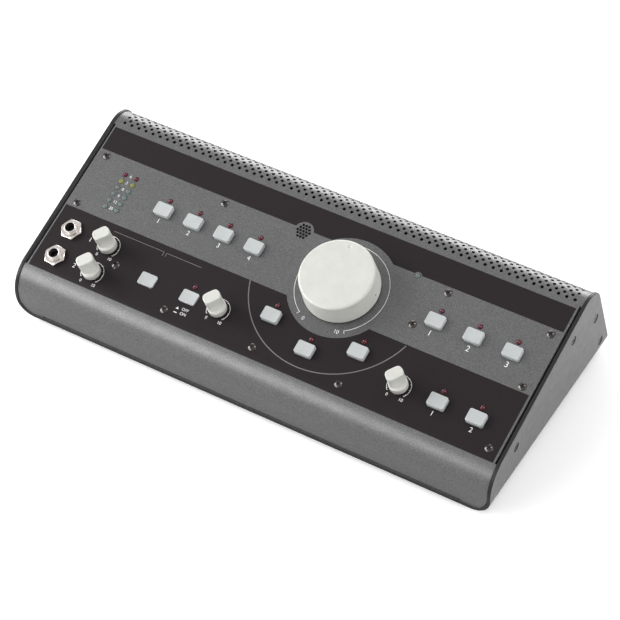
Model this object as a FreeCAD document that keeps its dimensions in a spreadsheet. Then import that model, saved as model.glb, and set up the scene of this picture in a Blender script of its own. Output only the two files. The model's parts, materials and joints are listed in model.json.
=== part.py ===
import FreeCAD, Part
import math
import os
import re
import Sketcher
from FreeCAD import Placement, Rotation, Vector

# A desktop studio monitor controller: a wedge-shaped metal box with a sloping control panel.
# A U-shaped tray makes the bottom and both sides. One bent sheet makes the rounded nose, the sloping
# panel and the perforated hood behind it. A flat rear panel carries the sockets.
#
# Lengths are millimetres. The row frame has +X to the right, +Y to the back and +Z up, with its
# origin under the middle of the footprint. The panel frame has its origin at the middle of the
# printed area, x to the right, y up the slope and z straight out of the panel.

DIMENSIONS = {
    # overall form
    "overall_width": 381.0,
    "panel_tilt": 18.4,
    "panel_height": 57.5,       # from the tray's underside up to the middle of the panel
    "front_reach": 70.8,        # from the middle of the panel forward to the tray's front edge
    "rear_reach": 82.6,         # from the middle of the panel up the slope to the tray's rear edge
    "foot_height": 3.5,
    # sheet metal
    "sheet_thickness": 1.2,
    "tray_thickness": 2.5,
    "tray_bend_radius": 14.0,   # outside radius of the tray's two long bends
    "edge_step": 0.8,           # how far the tray's edges stand proud of the cover
    "fit_gap": 0.3,             # clearance between parts that drop into each other
    "nose_radius": 23.2,
    "hood_radius": 17.0,
    "hood_drop": 23.0,          # how far the hood's rear skirt comes down
    "skirt_overlap": 7.0,       # how far that skirt covers the rear panel
    "panel_side_gap": 1.4,      # shadow gap between the flat panel and the tray's sides
    "side_flange_depth": 18.0,
    "side_notch_front": 10.0,   # from the front and rear reach to the ends of the folded sides
    "side_notch_rear": 19.6,
    "lip_notch_half": 168.5,
    "lip_notch_height": 1.4,
    # ventilation
    "vent_pitch": 6.13,
    "vent_first_row": 1.6,      # arc length from the start of the hood's bend to its first row
    "vent_row_step": 3.06,
    "vent_side": 2.1,
    "vent_rows": 4.0,
    "vent_margin": 6.5,
    # push buttons
    "cap_width": 12.7,
    "cap_depth": 9.5,
    "cap_rise": 3.5,
    "cap_corner": 1.3,
    "cap_edge": 0.7,
    "cap_rim": 0.9,             # width and thickness of the rim that keeps a cap in its window
    "cap_skirt": 2.6,
    "cap_travel": 3.0,
    "latched_depth": 2.5,
    "window_gap": 0.35,
    "stem_width": 3.0,
    "stem_length": 5.0,
    "switch_width": 8.0,
    "switch_gap": 0.4,
    # where the controls sit on the panel: insets are from the case's nearer side, or from its
    # front edge along the panel, and offsets are from the volume knob
    "upper_row_y": 14.45,
    "lower_row_inset": 33.25,
    "source_inset": 75.55,
    "source_pitch": 25.1,
    "phones_source_inset": 93.05,
    "studio_button_inset": 127.5,
    "volume_x": 31.9,
    "volume_y": 11.8,
    "mono_offset_x": 34.1,
    "mono_offset_y": 38.65,
    "mute_offset_y": 51.8,
    "monitor_inset": 87.05,
    "monitor_pitch": 28.95,
    "studio_knob_inset": 151.25,
    "talkback_knob_inset": 87.4,
    "phones_knob_inset": 52.9,
    "phones_knob_front": 44.8,
    "phones_pitch": 22.45,
    "phones_jack_inset": 21.0,
    "phones_jack_front": 45.4,
    "meter_inset": 33.4,
    "meter_gap": 9.5,
    "meter_top_y": 29.0,
    "meter_pitch": 5.56,
    "led_offset": 8.75,
    "power_led_offset": 43.8,
    "power_led_y": 40.4,
    "mic_offset": 45.5,
    "mic_y": 39.4,
    "screw_inset": 12.3,
    "screw_top_y": 37.0,
    "screw_middle_y": -4.6,
    "screw_front": 18.0,
    # lamps
    "led_radius": 1.9,
    "led_rise": 0.8,
    "meter_led_radius": 1.4,
    "led_gap": 0.12,
    # volume knob
    "knob_radius": 27.4,
    "knob_top_radius": 26.8,
    "knob_height": 20.0,
    "knob_lift": 1.0,
    "knob_rim": 2.4,
    "knob_wall": 3.0,
    "knob_roof": 4.0,
    "hub_radius": 7.0,
    "knob_dimple": 1.6,
    "knob_mark_reach": 21.8,    # from the knob's axis back to the middle of its dimple
    "knob_mark_shift": 1.4,     # and how far the dimple stands to the left of that
    # level knobs
    "skirt_radius": 6.6,
    "skirt_height": 5.4,
    "grip_radius": 6.3,
    "grip_top_radius": 6.2,
    "grip_height": 19.3,
    "grip_half_width": 4.2,
    "grip_waist": 1.6,
    "grip_dimple": 0.55,
    "rest_turn": -128.4,
    # shafts and potentiometers
    "shaft_radius": 3.0,
    "level_shaft_radius": 1.75,
    "shaft_gap": 0.05,
    "bush_radius": 4.4,
    "bush_rise": 4.6,
    "nut_height": 2.2,
    "pot_nut_flats": 12.0,
    "level_bush_radius": 3.9,
    "level_bush_rise": 0.6,
    "shaft_foot": 9.2,          # how far the shafts reach below the panel's face
    "volume_shaft_top": 14.0,
    "level_shaft_top": 12.0,
    "volume_pot_width": 24.0,
    "level_pot_width": 11.0,
    "pot_clearance": 0.5,
    # headphone and rear jacks
    "jack_bore_radius": 3.25,
    "jack_bush_radius": 4.6,
    "jack_bore_depth": 26.0,
    "jack_width": 14.0,
    "jack_back_wall": 1.5,
    "jack_nut_flats": 14.0,
    "jack_nut_height": 2.4,
    "jack_rise": 3.2,
    "hole_gap": 0.15,
    # circuit boards
    "board_drop": 11.4,         # from the panel's face down to the top of the main board
    "board_thickness": 1.6,
    "board_side_gap": 7.5,
    "board_front_gap": 14.8,
    "board_rear_gap": 25.6,
    "board_clearance": 1.5,
    "spacer_flats": 5.5,
    # panel and case screws
    "screw_radius": 1.5,
    "screw_head_radius": 2.6,
    "screw_head_height": 1.0,
    "screw_length": 6.0,
    "side_screw_head_radius": 2.9,
    "side_screw_front": 29.9,
    "side_screw_middle": 39.3,
    "side_screw_rear": 10.2,
    "side_screw_top": 11.5,
    "side_screw_high": 31.9,
    "side_screw_low": 65.0,
    # rear sockets
    "rear_upper_row": 39.0,
    "rear_lower_row": 61.0,
    "rear_middle_row": 50.0,
    "rear_flange_depth": 14.0,
    "rear_first_x": -58.0,
    "rear_pitch": 26.0,
    "rear_columns": 4.0,
    "phono_inset": 122.5,
    "phono_barrel": 4.15,
    "phono_hole": 1.65,
    "phono_rise": 8.5,
    "phono_flange": 6.2,
    "phono_hold_radius": 4.6,
    "phono_block_depth": 12.0,
    "post_inset": 98.5,
    "post_radius": 2.0,
    "post_nut_radius": 4.2,
    "post_rise": 9.0,
    "inlet_inset": 72.5,
    "inlet_radius": 9.0,
    "inlet_insert_radius": 6.4,
    "inlet_depth": 16.0,
    "rocker_inset": 40.5,
    "rocker_width": 11.0,
    "rocker_length": 18.4,
    "rocker_gap": 0.6,
    "rocker_lean": 9.0,
    "rocker_frame": 2.4,
    "rocker_depth": 14.0,
    # talkback microphone
    "mic_radius": 4.85,
    "mic_length": 6.0,
    "mic_boot_radius": 6.6,
    "mic_hole_radius": 0.75,
    "mic_hole_pitch": 2.05,
    # feet
    "foot_radius": 8.0,
    "foot_inset_x": 32.0,
    "foot_inset_y": 22.0,
}

COUNTS = {"led_sides": 8, "screw_sides": 8, "shank_sides": 6, "hidden_sides": 8}


def from_left(inset):
    return f"({inset} - overall_width / 2)"


def from_right(inset):
    return f"(overall_width / 2 - ({inset}))"


# formulas that several sub-parts share
LOWER_ROW = "(lower_row_inset - front_reach)"
SCREW_BOTTOM = "(screw_front - front_reach)"
MIC_X = "(volume_x - mic_offset)"
POWER_LED = ("volume_x + power_led_offset", "power_led_y")
BUTTONS = {
    "source_button_1": (from_left("source_inset"), "upper_row_y"),
    "source_button_2": (from_left("source_inset + source_pitch"), "upper_row_y"),
    "source_button_3": (from_left("source_inset + 2 * source_pitch"), "upper_row_y"),
    "source_button_4": (from_left("source_inset + 3 * source_pitch"), "upper_row_y"),
    "phones_source_button": (from_left("phones_source_inset"), LOWER_ROW),
    "studio_button": (from_left("studio_button_inset"), LOWER_ROW),
    "mono_button": ("volume_x - mono_offset_x", "volume_y - mono_offset_y"),
    "mute_button": ("volume_x", "volume_y - mute_offset_y"),
    "dim_button": ("volume_x + mono_offset_x", "volume_y - mono_offset_y"),
    "monitor_button_a": (from_right("monitor_inset"), "upper_row_y"),
    "monitor_button_b": (from_right("monitor_inset - monitor_pitch"), "upper_row_y"),
    "monitor_button_c": (from_right("monitor_inset - 2 * monitor_pitch"), "upper_row_y"),
    "talkback_button_1": (from_right("monitor_inset - monitor_pitch"), LOWER_ROW),
    "talkback_button_2": (from_right("monitor_inset - 2 * monitor_pitch"), LOWER_ROW),
}
LATCHED_IN = ("phones_source_button", "studio_button")
UNLIT = ("phones_source_button",)
LEVEL_KNOBS = {
    "phones_knob_1": (from_left("phones_knob_inset"), "phones_knob_front - front_reach"),
    "phones_knob_2": (from_left("phones_knob_inset"), "phones_knob_front - front_reach - phones_pitch"),
    "studio_knob": (from_left("studio_knob_inset"), LOWER_ROW),
    "talkback_knob": (from_right("talkback_knob_inset"), LOWER_ROW),
}
PHONES_JACKS = [
    (from_left("phones_jack_inset"), "phones_jack_front - front_reach"),
    (from_left("phones_jack_inset"), "phones_jack_front - front_reach - phones_pitch"),
]
PANEL_SCREWS = [
    (from_left("screw_inset"), "screw_top_y"),
    (from_left("screw_inset + 100.8"), "screw_top_y"),
    (from_right("screw_inset + 77.2"), "screw_top_y"),
    (from_right("screw_inset"), "screw_top_y"),
    (from_left("screw_inset"), "screw_middle_y"),
    (from_right("screw_inset + 88.5"), "screw_middle_y + 11.1"),
    (from_right("screw_inset"), "screw_middle_y"),
    (from_left("screw_inset + 53.3"), f"{SCREW_BOTTOM} + 16.0"),
    (from_left("screw_inset + 103.4"), SCREW_BOTTOM),
    ("volume_x - 35.0", SCREW_BOTTOM),
    ("volume_x + 33.0", SCREW_BOTTOM),
    (from_right("screw_inset"), SCREW_BOTTOM),
]
REAR_SCREW_PLACES = (-0.9, -0.45, 0.0, 0.45, 0.9)
PHONOS = [
    (from_right("phono_inset"), "rear_upper_row"),
    (from_right("phono_inset"), "rear_lower_row"),
]
POST = (from_right("post_inset"), "rear_middle_row")
INLET = (from_right("inlet_inset"), "rear_middle_row")
ROCKER = (from_right("rocker_inset"), "rear_middle_row")

HALF_WIDTH = "overall_width / 2"
REAR_FOOT = "(rear_reach + panel_height * sin(panel_tilt)) / cos(panel_tilt)"
PANEL_Y = f"(front_reach - {REAR_FOOT}) / 2"
PANEL_Z = "foot_height + panel_height"
COVER_HALF = f"{HALF_WIDTH} - tray_thickness - fit_gap"
PANEL_HALF = f"{HALF_WIDTH} - tray_thickness - panel_side_gap"
COVER_FRONT = "(front_reach - edge_step)"
COVER_REAR = "(rear_reach - edge_step)"
REAR_FACE = f"({COVER_REAR} - sheet_thickness - 0.02)"
FLOOR_TOP = "(panel_height - tray_thickness - fit_gap)"
REAR_LOW = f"({FLOOR_TOP} + ({REAR_FACE} - sheet_thickness) * sin(panel_tilt)) / cos(panel_tilt)"
NOTCH_FRONT = "(side_notch_front - front_reach)"
NOTCH_REAR = "(rear_reach - side_notch_rear)"
SWITCH_TOP = "(cap_skirt + cap_travel + switch_gap)"

document = FreeCAD.newDocument("monitor_controller")
sheet = document.addObject("Spreadsheet::Sheet", "Sheet")
parts = []


def fill_sheet():
    for row, (name, number) in enumerate(DIMENSIONS.items(), start=1):
        sheet.set(f"A{row}", name)
        sheet.set(f"B{row}", str(number))
        sheet.setAlias(f"B{row}", name)
    document.recompute()


def bound(formula):
    """A formula over the driving dimensions, as the document's expressions write it."""
    def refer(word):
        return "Sheet." + word[0] if word[0] in DIMENSIONS else word[0]
    return re.sub(r"[a-z][a-z_]+", refer, str(formula))


def value(formula):
    return float(sheet.evalExpression(bound(formula)))


def bind(feature, **formulas):
    for name, formula in formulas.items():
        feature.setExpression(name, bound(formula))


# ---------------------------------------------------------------- sketches and features


class Sketch:
    """A sketch on one of a body's origin planes. Every coordinate in it is a formula."""

    def __init__(self, body, plane="XY_Plane", lift="0"):
        self.body = body
        self.sketch = body.newObject("Sketcher::SketchObject", body.Label + "_sketch")
        support = [item for item in body.Origin.OriginFeatures if item.Role == plane]
        self.sketch.AttachmentSupport = [(support[0], "")]
        self.sketch.MapMode = "FlatFace"
        self.sketch.setExpression("AttachmentOffset.Base.z", bound(lift))
        self.geometry = []
        self.links = []
        self.sizes = []

    def place(self, shape, point, x, y):
        self.sizes.append(("DistanceX", (-1, 1, shape, point), x))
        self.sizes.append(("DistanceY", (-1, 1, shape, point), y))

    def polygon(self, corners):
        points = [Vector(value(x), value(y), 0) for x, y in corners]
        first = len(self.geometry)
        count = len(points)
        for index, (x, y) in enumerate(corners):
            following = (index + 1) % count
            self.geometry.append(Part.LineSegment(points[index], points[following]))
            self.links.append(("Coincident", first + index, 2, first + following, 1))
            self.place(first + index, 1, x, y)
        return self

    def box(self, x, y, width, depth):
        left = f"{x} - ({width}) / 2"
        right = f"{x} + ({width}) / 2"
        low = f"{y} - ({depth}) / 2"
        high = f"{y} + ({depth}) / 2"
        return self.polygon([(left, low), (right, low), (right, high), (left, high)])

    def eased_box(self, x, y, width, depth, ease):
        """A box whose corners are cut off at 45 degrees."""
        left = f"{x} - ({width}) / 2"
        right = f"{x} + ({width}) / 2"
        low = f"{y} - ({depth}) / 2"
        high = f"{y} + ({depth}) / 2"
        return self.polygon([
            (left, f"{low} + {ease}"), (f"{left} + {ease}", low),
            (f"{right} - {ease}", low), (right, f"{low} + {ease}"),
            (right, f"{high} - {ease}"), (f"{right} - {ease}", high),
            (f"{left} + {ease}", high), (left, f"{high} - {ease}"),
        ])

    def circle(self, x, y, radius):
        centre = Vector(value(x), value(y), 0)
        shape = len(self.geometry)
        self.geometry.append(Part.Circle(centre, Vector(0, 0, 1), value(radius)))
        self.place(shape, 3, x, y)
        self.sizes.append(("Radius", (shape,), radius))
        return self

    def regular(self, x, y, radius, sides, turn=0.0):
        angles = [turn + 360.0 * index / sides for index in range(sides)]
        return self.polygon(
            [(f"{x} + ({radius}) * cos({a})", f"{y} + ({radius}) * sin({a})") for a in angles]
        )

    def done(self):
        self.sketch.addGeometry(self.geometry, False)
        constraints = [Sketcher.Constraint(*link) for link in self.links]
        constraints += [
            Sketcher.Constraint(kind, *where, value(formula)) for kind, where, formula in self.sizes
        ]
        self.sketch.addConstraint(constraints)
        for index, (kind, where, formula) in enumerate(self.sizes, start=len(self.links)):
            self.sketch.setExpression(f"Constraints[{index}]", bound(formula))
        return self.sketch


def new_body(label, frame, x="0", y="0", z="0"):
    body = document.addObject("PartDesign::Body", label)
    body.Label = label
    put(body, frame, x, y, z)
    return body


def put(item, frame, x="0", y="0", z="0"):
    """Place an item in the upright, panel or rear frame. The rear frame's z points out of the back."""
    angles = {"upright": "0", "panel": "panel_tilt", "rear": "panel_tilt - 90"}
    if frame == "rear":
        x, y, z = x, f"{REAR_FACE} + ({z})", f"-({y})"
    if frame == "upright":
        along, up = f"{PANEL_Y} + ({y})", f"{PANEL_Z} + ({z})"
    else:
        along = f"{PANEL_Y} + ({y}) * cos(panel_tilt) - ({z}) * sin(panel_tilt)"
        up = f"{PANEL_Z} + ({y}) * sin(panel_tilt) + ({z}) * cos(panel_tilt)"
    turn = Rotation(Vector(1, 0, 0), value(angles[frame]))
    item.Placement = Placement(Vector(value(x), value(along), value(up)), turn)
    item.setExpression("Placement.Base.x", bound(x))
    item.setExpression("Placement.Base.y", bound(along))
    item.setExpression("Placement.Base.z", bound(up))


def pad(sketch, length, symmetric=False, flipped=False):
    feature = sketch.body.newObject("PartDesign::Pad", sketch.body.Label + "_pad")
    feature.Profile = sketch.done()
    feature.SideType = "Symmetric" if symmetric else "One side"
    feature.Reversed = flipped
    bind(feature, Length=length)
    sketch.body.Tip = feature
    return feature


def pocket(sketch, depth, symmetric=False, flipped=False, taper=0.0):
    """Cut a sketch out of its body, and make sure that it did remove something."""
    document.recompute()
    before = sketch.body.Shape.Volume
    feature = sketch.body.newObject("PartDesign::Pocket", sketch.body.Label + "_pocket")
    feature.Profile = sketch.done()
    feature.SideType = "Symmetric" if symmetric else "One side"
    feature.Reversed = flipped
    feature.TaperAngle = taper
    bind(feature, Length=depth)
    sketch.body.Tip = feature
    document.recompute()
    if feature.Shape.isNull() or feature.Shape.Volume > before - 1e-3:
        raise RuntimeError(f"{sketch.body.Label}: a pocket removes nothing")
    return feature


def revolve(sketch, axis="V_Axis"):
    feature = sketch.body.newObject("PartDesign::Revolution", sketch.body.Label + "_turning")
    profile = sketch.done()
    feature.Profile = profile
    feature.ReferenceAxis = (profile, [axis])
    feature.Angle = 360.0
    sketch.body.Tip = feature
    return feature


def dress(body, kind, size, wanted):
    """Fillet or chamfer those edges of a body's tip for which wanted(midpoint, direction) holds."""
    document.recompute()
    base = body.Tip
    names = []
    for index, edge in enumerate(base.Shape.Edges, start=1):
        middle = edge.valueAt((edge.FirstParameter + edge.LastParameter) / 2)
        ends = edge.valueAt(edge.LastParameter) - edge.valueAt(edge.FirstParameter)
        if wanted(middle, ends):
            names.append(f"Edge{index}")
    if not names:
        raise RuntimeError(f"{body.Label}: no edge to {kind}")
    feature = body.newObject("PartDesign::" + kind, body.Label + "_" + kind.lower())
    feature.Base = (base, names)
    bind(feature, **{"Radius" if kind == "Fillet" else "Size": size})
    body.Tip = feature
    return feature


def near(first, second, reach=0.02):
    return abs(first - second) < reach


def stamp(body, feature, places, draw, *sizes, plane="XY_Plane", lift="0", **options):
    """Draw one outline at every place, a few to a sketch, and pad or pocket each sketch."""
    for start in range(0, len(places), 4):
        sketch = Sketch(body, plane, lift)
        for x, y in places[start:start + 4]:
            draw(sketch, x, y)
        feature(sketch, *sizes, **options)


def rod(radius, sides, turn=0.0):
    """The outline of a many-sided rod or hole."""
    return lambda sketch, x, y: sketch.regular(x, y, radius, sides, turn)


def disc(radius):
    return lambda sketch, x, y: sketch.circle(x, y, radius)


def block(width, depth):
    return lambda sketch, x, y: sketch.box(x, y, width, depth)


def keep(item):
    parts.append(item)
    return item


# ---------------------------------------------------------------- case


def tray():
    """Bottom and both sides, bent from one sheet, with its edges cut to the side profile."""
    body = new_body("tray", "upright")
    low = "-panel_height"
    inner_low = f"{low} + tray_thickness"
    inner = f"{HALF_WIDTH} - tray_thickness"
    top = "rear_reach"
    section = Sketch(body, "XZ_Plane").polygon([
        (f"-{HALF_WIDTH}", top), (f"-{HALF_WIDTH}", low), (HALF_WIDTH, low), (HALF_WIDTH, top),
        (inner, top), (inner, inner_low), (f"-({inner})", inner_low), (f"-({inner})", top),
    ])
    pad(section, "4 * rear_reach", symmetric=True)
    floor = value(low)
    dress(body, "Fillet", "tray_bend_radius", lambda middle, ends: near(middle.z, floor)
          and near(abs(middle.x), value(HALF_WIDTH)) and near(ends.x, 0))
    dress(body, "Fillet", "tray_bend_radius - tray_thickness",
          lambda middle, ends: near(middle.z, value(inner_low))
          and near(abs(middle.x), value(inner)) and near(ends.x, 0) and abs(ends.y) > 1)
    crest = "(edge_step - front_reach * sin(panel_tilt)) / cos(panel_tilt)"
    peak_y = "rear_reach * cos(panel_tilt) - edge_step * sin(panel_tilt)"
    peak_z = "rear_reach * sin(panel_tilt) + edge_step * cos(panel_tilt)"
    far = "3 * rear_reach"
    sky = "2 * rear_reach"
    outline = Sketch(body, "YZ_Plane")
    outline.polygon([(f"-{far}", f"-{sky}"), (far, f"-{sky}"), (far, sky), (f"-{far}", sky)])
    outline.polygon([
        ("-front_reach", f"{low} - 1"), (f"{REAR_FOOT} + tan(panel_tilt)", f"{low} - 1"),
        (peak_y, peak_z), ("-front_reach", crest),
    ])
    pocket(outline, "2 * overall_width", symmetric=True)
    dress(body, "Fillet", "nose_radius + edge_step",
          lambda middle, ends: near(middle.y, -value("front_reach")) and near(middle.z, value(crest)))
    dress(body, "Fillet", "hood_radius + edge_step",
          lambda middle, ends: near(middle.y, value(peak_y)) and near(middle.z, value(peak_z)))
    places = [
        (f"({y}) * cos(panel_tilt) - ({z}) * sin(panel_tilt)",
         f"({y}) * sin(panel_tilt) + ({z}) * cos(panel_tilt)")
        for y, z in side_screw_places()
    ]
    sides = COUNTS["screw_sides"]
    stamp(body, pocket, places, rod("screw_radius + hole_gap", sides), "2 * overall_width",
          plane="YZ_Plane", symmetric=True)
    for side in ("-1", "1"):
        inward = side == "1"
        sink = Sketch(body, "YZ_Plane", f"{side} * {HALF_WIDTH}")
        for y, z in places:
            sink.regular(y, z, "side_screw_head_radius + hole_gap", sides)
        pocket(sink, "side_screw_head_radius - screw_radius", flipped=not inward, taper=-45.0)
    return keep(body)


def side_screw_places():
    return [
        ("side_screw_front - front_reach", "-side_screw_top"),
        ("rear_reach - side_screw_middle", "-side_screw_top"),
        ("rear_reach - side_screw_rear", "-side_screw_high"),
        ("rear_reach - side_screw_rear", "-side_screw_low"),
    ]


def cover_blank():
    """The bent cover before the hood is punched: nose, flat panel and hood, with all its openings."""
    body = new_body("cover_blank", "panel")
    low_y = f"-{COVER_FRONT} * cos(panel_tilt) - {FLOOR_TOP} * sin(panel_tilt)"
    low_z = f"{COVER_FRONT} * sin(panel_tilt) - {FLOOR_TOP} * cos(panel_tilt)"
    front_y = f"-{COVER_FRONT} / cos(panel_tilt)"
    inner_front = f"(sheet_thickness * (1 - sin(panel_tilt)) - {COVER_FRONT}) / cos(panel_tilt)"
    inside_low_y = f"{low_y} + sheet_thickness * cos(panel_tilt)"
    inside_low_z = f"{low_z} - sheet_thickness * sin(panel_tilt)"
    profile = Sketch(body, "YZ_Plane").polygon([
        (low_y, low_z), (inside_low_y, inside_low_z), (inner_front, "-sheet_thickness"),
        (f"{COVER_REAR} - sheet_thickness", "-sheet_thickness"),
        (f"{COVER_REAR} - sheet_thickness", "-hood_drop"),
        (COVER_REAR, "-hood_drop"), (COVER_REAR, "0"), (front_y, "0"),
    ])
    pad(profile, f"2 * ({COVER_HALF})", symmetric=True)
    bends = (
        ("nose_radius", front_y, "0"),
        ("nose_radius - sheet_thickness", inner_front, "-sheet_thickness"),
        ("hood_radius", COVER_REAR, "0"),
        ("hood_radius - sheet_thickness", f"{COVER_REAR} - sheet_thickness", "-sheet_thickness"),
    )
    for radius, y, z in bends:
        dress(body, "Fillet", radius, lambda middle, ends, y=y, z=z: near(middle.y, value(y))
              and near(middle.z, value(z)) and abs(ends.x) > 1)
    trim = Sketch(body)
    middle_y = f"({NOTCH_REAR} + {NOTCH_FRONT}) / 2"
    length = f"{NOTCH_REAR} - {NOTCH_FRONT}"
    for side in ("-1", "1"):
        x = f"{side} * ({PANEL_HALF} + panel_side_gap)"
        trim.box(x, middle_y, "2 * panel_side_gap", length)
    pocket(trim, "4 * sheet_thickness", symmetric=True)
    flanges = Sketch(body)
    for side in ("-1", "1"):
        x = f"{side} * ({PANEL_HALF} - sheet_thickness / 2)"
        flanges.box(x, middle_y, "sheet_thickness", f"{length} - 10")
    pad(flanges, "side_flange_depth", flipped=True)
    dress(body, "Fillet", "0.8 * sheet_thickness",
          lambda middle, ends: near(abs(middle.x), value(PANEL_HALF)) and near(middle.z, 0)
          and abs(ends.y) > 20)
    corner = "tray_bend_radius - tray_thickness"
    dress(body, "Fillet", corner, lambda middle, ends: near(abs(middle.x), value(COVER_HALF))
          and near(abs(ends.x), 0) and near(ends.Length, value("sheet_thickness"))
          and middle.y < value(front_y) + 5)
    notch = Sketch(body, "XZ_Plane", f"-({low_y})")
    notch.box("0", low_z, "2 * lip_notch_half", "2 * lip_notch_height")
    pocket(notch, "6 * sheet_thickness", symmetric=True)
    hole = rod("screw_radius + hole_gap", COUNTS["screw_sides"])
    stamp(body, pocket, side_screw_places()[:2], hole, "2 * overall_width",
          plane="YZ_Plane", symmetric=True)
    skirt = [(f"{share} * ({COVER_HALF})", "skirt_overlap / 2 - hood_drop")
             for share in REAR_SCREW_PLACES]
    stamp(body, pocket, skirt, hole, "3 * sheet_thickness",
          plane="XZ_Plane", lift=f"-{COVER_REAR}", symmetric=True)
    return body


def panel_punches():
    """The punches for the flat panel: windows, lamps, knobs, jacks, screws and the mic's grille."""
    def window(sketch, x, y):
        sketch.eased_box(x, y, "cap_width + 2 * window_gap", "cap_depth + 2 * window_gap",
                         "0.6 * cap_corner")

    lamp_sides = COUNTS["led_sides"]
    hidden = COUNTS["hidden_sides"]
    grille = [
        (f"{MIC_X} + {column} * mic_hole_pitch", f"mic_y + {row} * mic_hole_pitch")
        for column, row in mic_grid()
    ]
    small_lamps = status_led_places() + [POWER_LED]
    openings = {
        "window_punches": (list(BUTTONS.values()), window),
        "volume_punch": ([("volume_x", "volume_y")], rod("bush_radius + hole_gap", hidden)),
        "level_punches": (list(LEVEL_KNOBS.values()), rod("level_bush_radius + hole_gap", hidden)),
        "jack_punches": (PHONES_JACKS, disc("jack_bush_radius + hole_gap")),
        "lamp_punches": (small_lamps, rod("led_radius + led_gap", lamp_sides)),
        "meter_punches": (meter_places(0, 6), rod("meter_led_radius + led_gap", lamp_sides)),
        "screw_punches": (PANEL_SCREWS, rod("screw_radius + hole_gap", COUNTS["screw_sides"])),
        "grille_punches": (grille, rod("mic_hole_radius", 6)),
    }
    bodies = []
    for name, (places, outline) in openings.items():
        body = new_body(name, "panel")
        stamp(body, pad, places, outline, "4 * sheet_thickness", symmetric=True)
        bodies.append(body)
    return bodies


def mic_grid():
    """Hexagonal grid of nineteen holes, in pitches."""
    spots = []
    for row in range(-2, 3):
        count = 5 - abs(row)
        spots += [(index - (count - 1) / 2, round(row * 0.75**0.5, 4)) for index in range(count)]
    return spots


def status_led_places():
    return [(x, f"{y} + led_offset") for name, (x, y) in BUTTONS.items() if name not in UNLIT]


def meter_places(first, last):
    rows = range(first, last)
    columns = (from_left("meter_inset"), from_left("meter_inset + meter_gap"))
    return [(x, f"meter_top_y - {row} * meter_pitch") for row in rows for x in columns]


def vent_punches():
    """The punches for the hood: staggered rows of holes, each square to the bend."""
    radius = value("hood_radius")
    depth = value("sheet_thickness")
    side = value("vent_side")
    centre = Vector(0, value(COVER_REAR) - radius, -radius)
    span = 2 * (value(COVER_HALF) - value("vent_margin"))
    columns = int(span / value("vent_pitch")) + 1
    corner = Vector(-side / 2, -side / 2, 0)
    punches = []
    for row in range(int(value("vent_rows"))):
        arc = value("vent_first_row") + row * value("vent_row_step")
        lean = Rotation(Vector(1, 0, 0), -math.degrees(arc / radius))
        count = columns - row % 2
        for column in range(count):
            x = (column - (count - 1) / 2) * value("vent_pitch")
            foot = centre + lean.multVec(Vector(0, 0, radius - 2 * depth)) + Vector(x, 0, 0)
            punch = Part.makeBox(side, side, 3 * depth, corner)
            punches.append(punch.transformed(Placement(foot, lean).toMatrix()))
    feature = document.addObject("Part::Feature", "vent_punches")
    feature.Shape = Part.makeCompound(punches)
    put(feature, "panel")
    return feature


def top_cover():
    cover = document.addObject("Part::Cut", "top_cover")
    cover.Label = "top_cover"
    punches = document.addObject("Part::Compound", "cover_punches")
    punches.Links = panel_punches() + [vent_punches()]
    cover.Base = cover_blank()
    cover.Tool = punches
    return keep(cover)


def rear_panel():
    """The connector panel: a flat sheet with a flange bent in along each side."""
    body = new_body("rear_panel", "rear")
    half = COVER_HALF
    top = "hood_drop - skirt_overlap"
    plate = Sketch(body).box("0", f"({top} + {REAR_LOW}) / 2", f"2 * ({half})",
                             f"{REAR_LOW} - ({top})")
    pad(plate, "sheet_thickness", flipped=True)
    dress(body, "Fillet", "tray_bend_radius - tray_thickness + 1",
          lambda middle, ends: near(middle.y, value(REAR_LOW)) and near(abs(middle.x), value(half))
          and near(abs(ends.z), value("sheet_thickness")))
    flange_end = f"{REAR_LOW} - tray_bend_radius - 2"
    flange = Sketch(body)
    for side in ("-1", "1"):
        flange.box(f"{side} * ({half} - sheet_thickness / 2)", f"({top} + 8 + {flange_end}) / 2",
                   "sheet_thickness", f"{flange_end} - ({top} + 8)")
    pad(flange, "rear_flange_depth", flipped=True)
    hidden = COUNTS["hidden_sides"]
    rocker_cut = block("rocker_width + 2 * rocker_gap + rocker_frame",
                       "rocker_length + 2 * rocker_gap + rocker_frame")
    skirt = [(f"{share} * ({half})", "hood_drop - skirt_overlap / 2")
             for share in REAR_SCREW_PLACES]
    openings = (
        (rear_jack_places(), rod("jack_bush_radius + hole_gap", hidden)),
        (PHONOS, rod("phono_hold_radius + hole_gap", hidden)),
        ([POST], rod("post_radius + hole_gap", hidden)),
        ([INLET], disc("inlet_radius + hole_gap")),
        ([ROCKER], rocker_cut),
        (skirt, rod("screw_radius + hole_gap", COUNTS["screw_sides"])),
    )
    for places, outline in openings:
        stamp(body, pocket, places, outline, "4 * sheet_thickness", symmetric=True)
    flank = [(f"-({z})", f"{y} - {REAR_FACE}") for y, z in side_screw_places()[2:]]
    stamp(body, pocket, flank, rod("screw_radius + hole_gap", COUNTS["screw_sides"]),
          "2 * overall_width", plane="YZ_Plane", symmetric=True)
    return keep(body)


def feet():
    body = new_body("rubber_feet", "upright", z="-panel_height")
    places = [
        (x, y)
        for x in (f"foot_inset_x - {HALF_WIDTH}", f"{HALF_WIDTH} - foot_inset_x")
        for y in ("foot_inset_y - front_reach", f"{REAR_FOOT} - foot_inset_y")
    ]
    stamp(body, pad, places, rod("foot_radius", 16), "foot_height", flipped=True)
    return keep(body)


# ---------------------------------------------------------------- screws and nuts


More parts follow.
